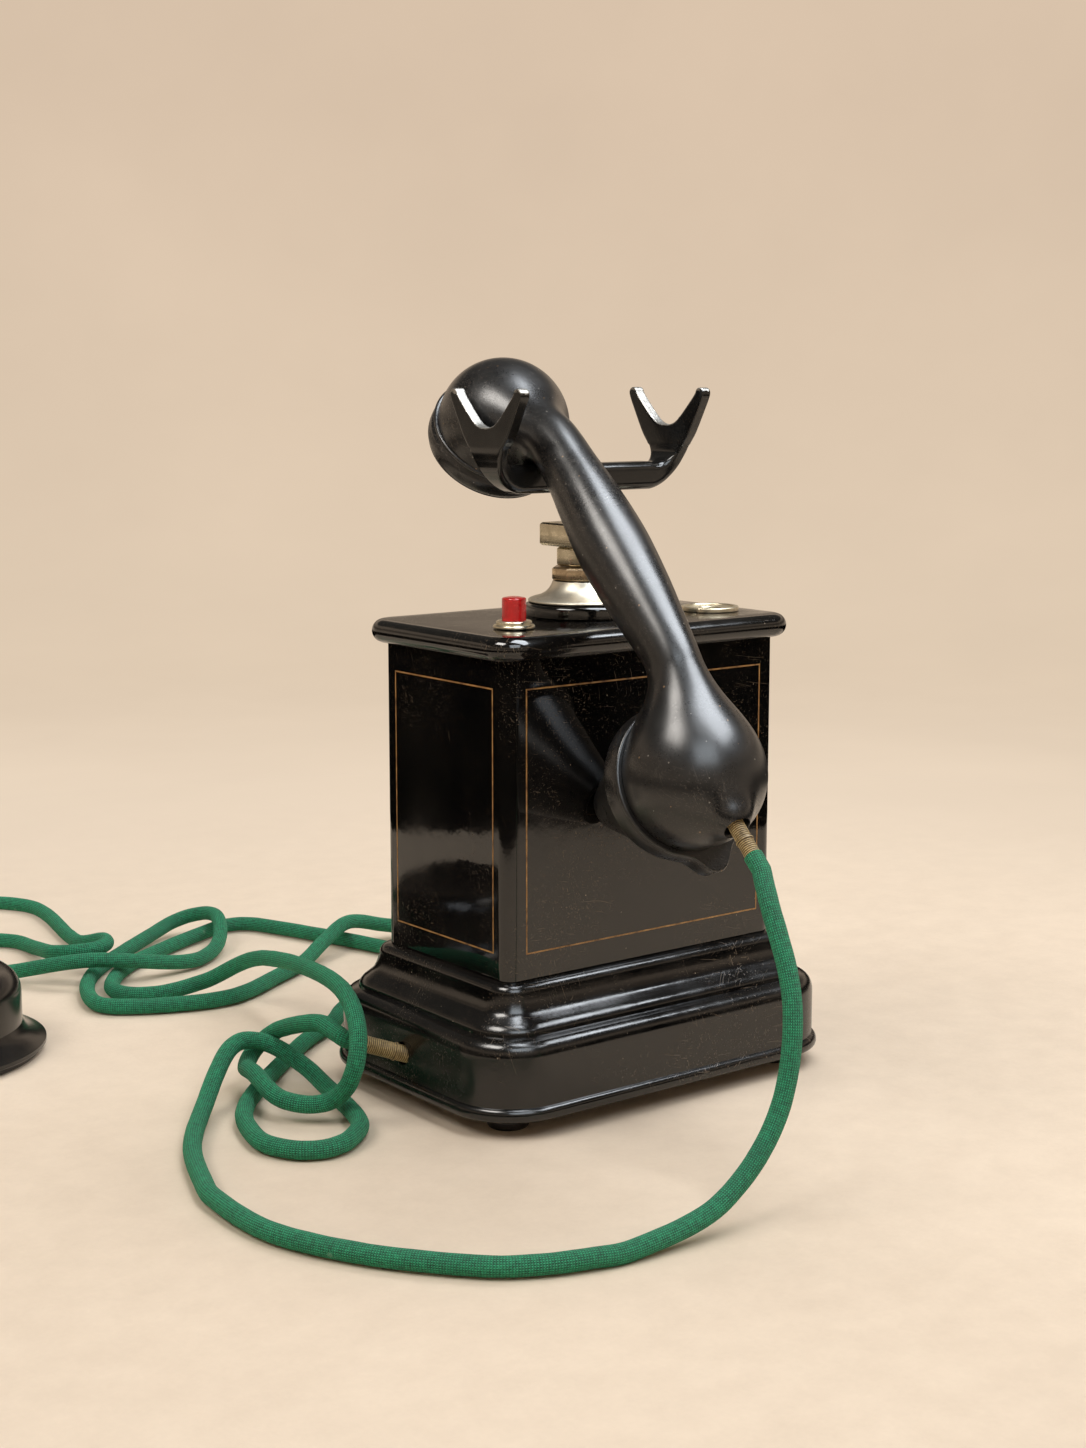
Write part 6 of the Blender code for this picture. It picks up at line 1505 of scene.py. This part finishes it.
def make_handset(surfaces):
    """The moulded shells and handle as one eased skin, with the caps and the horn."""
    ebonite = surfaces["ebonite"]
    body = skin("handle_shell", handle_rings(), ebonite)
    ends = (
        ("ear", EAR_BULB_RADIUS, EAR_RIM, 0, 0, EAR_TILT),
        ("mouth", MOUTH_BULB_RADIUS, MOUTH_RIM, MOUTH_Y, MOUTH_Z, MOUTH_TILT),
    )
    boss_way = Vector((0, math.cos(BOSS_TURN), math.sin(BOSS_TURN)))
    boss_end = Vector((0, BOSS_Y, BOSS_Z))
    for name, radius, rim, y, z, tilt in ends:
        dome = bulb(f"{name}_dome", radius, ebonite)
        seat(dome, cap_matrix(y, z, tilt))
        combine(body, dome, "UNION")
    boss_turn = boss_way.to_track_quat("Z", "Y").to_matrix().to_4x4()
    boss_at = Matrix.Translation(boss_end) @ boss_turn
    boss = rod("boss_shape", BOSS_RADIUS, boss_end - boss_way * BOSS_LENGTH, boss_end, ebonite)
    combine(body, boss, "UNION")
    remesh(body, REMESH_SIZE, 6)
    settle_on_field(body, handset_field, FIELD_ROUNDS)
    for name, radius, rim, y, z, tilt in ends:
        front = rod("front_cut", radius + CAP_WALL, (0, 0, rim), (0, 0, rim + 2 * radius), ebonite)
        seat(front, cap_matrix(y, z, tilt))
        combine(body, front, "DIFFERENCE")
        hollow = rod(
            "hollow_cut", radius - SHELL_WALL, (0, 0, rim - SHELL_CAVITY), (0, 0, rim + CUT_OVERRUN), ebonite,
        )
        seat(hollow, cap_matrix(y, z, tilt))
        combine(body, hollow, "DIFFERENCE")
    mouth = [(BOSS_RADIUS * out, BOSS_RADIUS * up, 0) for out, up in BOSS_MOUTH_SHARES]
    mouth = [(point.x, point.y) for point in smooth_points(mouth, SMOOTH_STEPS)]
    profile = [(0, -BOSS_BORE_DEPTH), (mouth[0][0], -BOSS_BORE_DEPTH)] + mouth
    profile += [(mouth[-1][0], BOSS_RADIUS), (0, BOSS_RADIUS)]
    bore = turned("bore_cut", profile, ebonite, 64)
    seat(bore, boss_at)
    combine(body, bore, "DIFFERENCE")
    resharpen(body, 45.0)
    seat(body, HANDSET_FRAME)
    settle(body, "handset", "ebonite", "handset_body")

    step = CAP_WALL / 3
    low = EAR_RIM + SEAT_GAP
    high = low + EAR_CAP_HEIGHT
    inner = EAR_CAP_RADIUS - CAP_WALL
    outline = smooth_points([
        (EAR_CAP_RADIUS - 2 * step, low + 2.4 * step, 0),
        (EAR_CAP_RADIUS - step, low + 4 * step, 0),
        (EAR_CAP_RADIUS, low + 6 * step, 0),
        (EAR_CAP_RADIUS, high - 3 * step, 0),
        (EAR_CAP_RADIUS - step, high - step, 0),
        (EAR_CAP_RADIUS - 3 * step, high, 0),
        (EAR_HOLE_RADIUS + 4 * step, high - 2 * step, 0),
        (EAR_HOLE_RADIUS + step / 2, high - 2.8 * step, 0),
    ], 6)
    profile = [(inner, low), (EAR_CAP_RADIUS - step, low)]
    profile += arc((EAR_CAP_RADIUS - step, low + step), step, -90, 90, 8)
    profile += [(point.x, point.y) for point in outline]
    profile += [(EAR_HOLE_RADIUS, high - 3 * step), (EAR_HOLE_RADIUS, high - 3 * step - CAP_WALL), (inner, high - 3 * step - CAP_WALL)]
    cap = turned("ear_piece", profile, ebonite, loop=True)
    seat(cap, HANDSET_FRAME @ cap_matrix(0, 0, EAR_TILT))
    settle(cap, "handset", "ebonite", "ear_cap")

    low = MOUTH_RIM + SEAT_GAP
    high = low + MOUTH_CAP_HEIGHT
    inner = MOUTH_CAP_RADIUS - CAP_WALL
    horn_seat = HORN_BASE_RADIUS - HORN_WALL
    side = [(MOUTH_CAP_RADIUS - step, low, 1.0)]
    side += [(out, up, 1.0) for out, up in arc((MOUTH_CAP_RADIUS - step, low + step), step, -90, 60, 7)]
    side += [(MOUTH_CAP_RADIUS - step, low + step * 2.4, 1.0), (MOUTH_CAP_RADIUS - step * 0.6, low + step * 3.2, 1.0)]
    side += [(out, up, 1.0) for out, up in arc((MOUTH_CAP_RADIUS - 2 * step, high - 2 * step), 2 * step, 0, 90, 8)]
    rim = [(horn_seat, high, 0.0), (horn_seat, high - CAP_WALL, 0.0), (inner, high - CAP_WALL, 0.0)]
    rings = []
    for radius, height, weight in [(inner, low, 0.0)] + side + rim:
        rings.append(lugged_ring(radius, height, weight))
    cap = skin("mouth_ring", rings, ebonite, loop=True)
    seat(cap, HANDSET_FRAME @ cap_matrix(MOUTH_Y, MOUTH_Z, MOUTH_TILT))
    settle(cap, "handset", "ebonite", "mouth_cap")

    base = high + SEAT_GAP
    tip = base + HORN_LENGTH
    nose = HORN_WALL / 2
    wall = HORN_WALL / 2
    lip = arc((HORN_TIP_RADIUS - wall, tip - wall), wall, 0, 180, 12)
    profile = [(HORN_BASE_RADIUS - HORN_WALL, base)]
    profile += arc((HORN_BASE_RADIUS - nose, base + nose), nose, -90, 0, 6)
    profile += [(HORN_BASE_RADIUS, base + HORN_WALL)]
    horn = turned("speaking_horn", profile + lip, ebonite, loop=True)
    seat(horn, HANDSET_FRAME @ cap_matrix(MOUTH_Y, MOUTH_Z, MOUTH_TILT))
    settle(horn, "handset", "ebonite", "mouth_horn")


def make_bush(surfaces):
    """The turned bush where the handset's cord goes in at the back."""
    at = CASE_FRAME @ Matrix.Translation((REAR_EXIT_X, HALF_DEPTH + BASE_FLARE, REAR_EXIT_Z))
    inner = CORD_HOLE_RADIUS - SLIDE_GAP
    edge = BUSH_FLANGE / 3
    profile = [(0, -BASE_WALL), (inner, -BASE_WALL), (inner, SEAT_GAP), (BUSH_RADIUS - edge, SEAT_GAP)]
    profile += arc((BUSH_RADIUS - edge, BUSH_FLANGE - edge), edge, 0, 90, 6)
    profile += [(inner + edge, BUSH_FLANGE + edge), (inner, BUSH_FLANGE * 3 / 2), (inner, BUSH_LENGTH - edge)]
    profile += [(inner - edge, BUSH_LENGTH), (0, BUSH_LENGTH)]
    bush = turned("rear_bush", profile, surfaces["insulator"], 64)
    seat(bush, at @ Matrix.Rotation(-math.pi / 2, 4, "X"))
    settle(bush, "case", "insulator", "rear_cord_bush")


def dress_nodes(surfaces):
    """Gives each model node that still shows its slot's surface."""
    slots = {row["node"]: row["material_slot"] for row in frame["record"]["subparts"]}
    for name, obj in frame["nodes"].items():
        surface = surfaces.get(slots.get(name), surfaces["insulator"])
        if not obj.material_slots:
            obj.data.materials.append(surface)
        for entry in obj.material_slots:
            entry.material = surface


# Floor and light


def make_stage():
    """A round sheet of warm paper that turns up into a pale backdrop. Away from the telephone the paper glows with
    painted light for the camera and for reflections, darker further away and higher up.
    """
    shader = Shader("warm_paper", Specular_IOR_Level=0.1)
    cloud = shader.noise(4.5, 4.0, 0.55)
    pulp = shader.noise(55.0, 6.0, 0.62)
    fibre = shader.noise(420.0, 4.0, 0.6)
    tone = shader.sum("ADD", shader.sum("MULTIPLY", cloud, 0.40), shader.sum("MULTIPLY", pulp, 0.45))
    tone = shader.sum("ADD", tone, shader.sum("MULTIPLY", fibre, 0.15))
    shader.set("Base Color", shader.steps(tone, (0.38, 0.765, 0.645, 0.515), (0.62, 0.845, 0.720, 0.580)))
    shader.set("Roughness", 0.9)
    shader.bump(shader.sum("ADD", fibre, pulp), 0.25, 0.0004)
    where = shader.node("ShaderNodeTexCoord").outputs["Object"]
    distance = shader.node("ShaderNodeVectorMath", {0: where}, operation="LENGTH").outputs["Value"]
    rays = shader.node("ShaderNodeLightPath").outputs
    seen = shader.sum("MAXIMUM", rays["Is Camera Ray"], rays["Is Glossy Ray"])
    seen = shader.sum("MAXIMUM", seen, rays["Is Transmission Ray"])
    fade = shader.node(
        "ShaderNodeMapRange",
        {"Value": distance, "From Min": PAPER_NEAR, "From Max": PAPER_FAR},
        interpolation_type="SMOOTHSTEP",
    ).outputs["Result"]
    height = shader.node("ShaderNodeSeparateXYZ", {"Vector": where}).outputs["Z"]
    # Painted light: the far paper's glow, darker with distance and with height, and unevenly bright.
    far = shader.mix(shader.range(distance, 0.45, 1.25), (0.855, 0.705, 0.550), (0.745, 0.600, 0.452))
    far = shader.mix(shader.range(height, 0.02, 0.60), far, (0.695, 0.545, 0.408))
    drift = shader.range(shader.noise(1.7, 5.0, 0.6), 0.35, 0.68, 0.965, 1.03)
    glow = shader.node("ShaderNodeEmission", {"Color": far, "Strength": drift}).outputs["Emission"]
    output = shader.tree.nodes["Material Output"]
    both = shader.node(
        "ShaderNodeMixShader",
        {0: shader.sum("MULTIPLY", fade, seen), 1: shader.surface.outputs["BSDF"], 2: glow},
    )
    shader.tree.links.new(both.outputs["Shader"], output.inputs["Surface"])
    profile = [(0.0, 0.0), (0.25, 0.0), (0.55, 0.0), (FLOOR_RADIUS, 0.0)]
    profile += arc((FLOOR_RADIUS, BACKDROP_RADIUS), BACKDROP_RADIUS, -90, 0, 32)[1:]
    profile.append((FLOOR_RADIUS + BACKDROP_RADIUS, BACKDROP_HEIGHT))
    open_turned("paper_sweep", profile, shader.material)


def open_turned(name, profile, surface):
    """A turned sheet without thickness, from (radius, height) points."""
    bm = bmesh.new()
    rows = [[bm.verts.new(point) for point in circle(radius, height)] for radius, height in profile if radius > 0]
    if profile[0][0] == 0:
        bm.faces.new(rows[0])
    for lower, upper in zip(rows, rows[1:]):
        for i in range(ROUND):
            j = (i + 1) % ROUND
            bm.faces.new((lower[i], lower[j], upper[j], upper[i]))
    return make_mesh(name, bm, surface, 60.0)


def make_screen():
    """A low round screen that only reflections see: black low down, so that the gloss shows a dark room beyond
    the near floor, and a thin veil higher up.
    """
    material = bpy.data.materials.new("dark_screen")
    material.use_nodes = True
    tree = material.node_tree
    tree.nodes.clear()
    where = tree.nodes.new("ShaderNodeTexCoord").outputs["Object"]
    split = tree.nodes.new("ShaderNodeSeparateXYZ")
    tree.links.new(where, split.inputs[0])
    share = tree.nodes.new("ShaderNodeMath")
    share.operation = "DIVIDE"
    share.inputs[1].default_value = SCREEN_HEIGHT
    tree.links.new(split.outputs["Z"], share.inputs[0])
    ramp = tree.nodes.new("ShaderNodeValToRGB")
    tree.links.new(share.outputs[0], ramp.inputs["Fac"])
    stops = (
        (SCREEN_DARK_HEIGHT, 0.0),
        (SCREEN_CLEAR_HEIGHT, 1.0),
        (SCREEN_VEIL_HEIGHT, 1.0),
        (SCREEN_VEIL_HEIGHT + SCREEN_CLEAR_HEIGHT - SCREEN_DARK_HEIGHT, SCREEN_VEIL),
    )
    while len(ramp.color_ramp.elements) < len(stops):
        ramp.color_ramp.elements.new(1.0)
    for element, (height, let_through) in zip(ramp.color_ramp.elements, stops):
        element.position = height / SCREEN_HEIGHT
        element.color = (let_through, let_through, let_through, 1.0)
    clear = tree.nodes.new("ShaderNodeBsdfTransparent")
    tree.links.new(ramp.outputs["Color"], clear.inputs["Color"])
    output = tree.nodes.new("ShaderNodeOutputMaterial")
    tree.links.new(clear.outputs["BSDF"], output.inputs["Surface"])
    screen = open_turned("dark_screen", [(SCREEN_RADIUS, 0.0), (SCREEN_RADIUS, SCREEN_HEIGHT)], material)
    screen.data.transform(CASE_FRAME)
    screen.visible_camera = False
    screen.visible_diffuse = False
    screen.visible_transmission = False
    screen.visible_volume_scatter = False
    screen.visible_shadow = False


def lamp(name, place, target, size, power, colour, lights="both"):
    """A rectangular soft lamp that faces a point. It lights the matt, the gloss, or both."""
    data = bpy.data.lights.new(name, "AREA")
    data.shape = "RECTANGLE"
    data.size, data.size_y = size
    data.energy = power
    data.color = colour
    obj = bpy.data.objects.new(name, data)
    bpy.context.scene.collection.objects.link(obj)
    obj.location = place
    obj.rotation_euler = (Vector(target) - Vector(place)).to_track_quat("-Z", "Y").to_euler()
    obj.visible_camera = False
    obj.visible_glossy = lights != "matt"
    obj.visible_diffuse = lights != "gloss"


def make_light():
    """Soft lamps in a dim warm room: a long one from overhead to the front, one on the left, a broad cool
    panel on the right, and one for the floor behind.
    """
    world = bpy.data.worlds.new("room")
    world.use_nodes = True
    background = world.node_tree.nodes["Background"]
    background.inputs["Color"].default_value = (0.80, 0.72, 0.62, 1.0)
    background.inputs["Strength"].default_value = 0.14
    bpy.context.scene.world = world
    middle = (0.0, 0.0, 0.14)
    floor_behind = (0.22, 0.48, 0.0)
    floor_beside = (0.28, 0.0, 0.0)
    warm = (1.0, 0.95, 0.89)
    lamp("main_softbox", (-0.03, -0.585, 1.29), middle, (0.50, 1.30), 8.9, (0.985, 0.985, 0.985), "matt")
    lamp("high_panel", (0.36, -0.42, 1.29), middle, (0.76, 1.06), 35.0, (0.89, 0.94, 1.0), "gloss")
    lamp("front_panel", (-0.36, -1.04, 0.98), middle, (0.80, 0.60), 7.6, (0.85, 0.93, 1.0), "gloss")
    lamp("left_softbox", (-1.00, 0.07, 1.09), middle, (1.00, 0.50), 7.0, warm, "matt")
    lamp("left_glint", (-0.80, -0.06, 1.26), middle, (0.60, 0.42), 12.0, warm, "gloss")
    lamp("cool_panel", (1.02, -0.33, 1.33), middle, (1.30, 1.10), 5.0, (0.90, 0.95, 1.0), "matt")
    lamp("rear_floor_lamp", (0.45, 0.90, 1.30), floor_behind, (0.70, 0.70), 5.5, (1.0, 0.98, 0.95), "matt")
    lamp("side_floor_lamp", (0.88, 0.10, 1.10), floor_beside, (0.60, 0.60), 4.4, (1.0, 0.98, 0.97), "matt")


def build():
    surfaces = make_surfaces()
    make_camera()
    make_cords(surfaces)
    make_base(surfaces)
    make_body(surfaces)
    make_pillar(surfaces)
    make_cradle(surfaces)
    make_button(surfaces)
    make_socket(surfaces)
    make_handset(surfaces)
    make_bush(surfaces)
    dress_nodes(surfaces)
    make_stage()
    make_screen()
    make_light()
    bpy.context.scene.view_settings.view_transform = "Standard"


build()
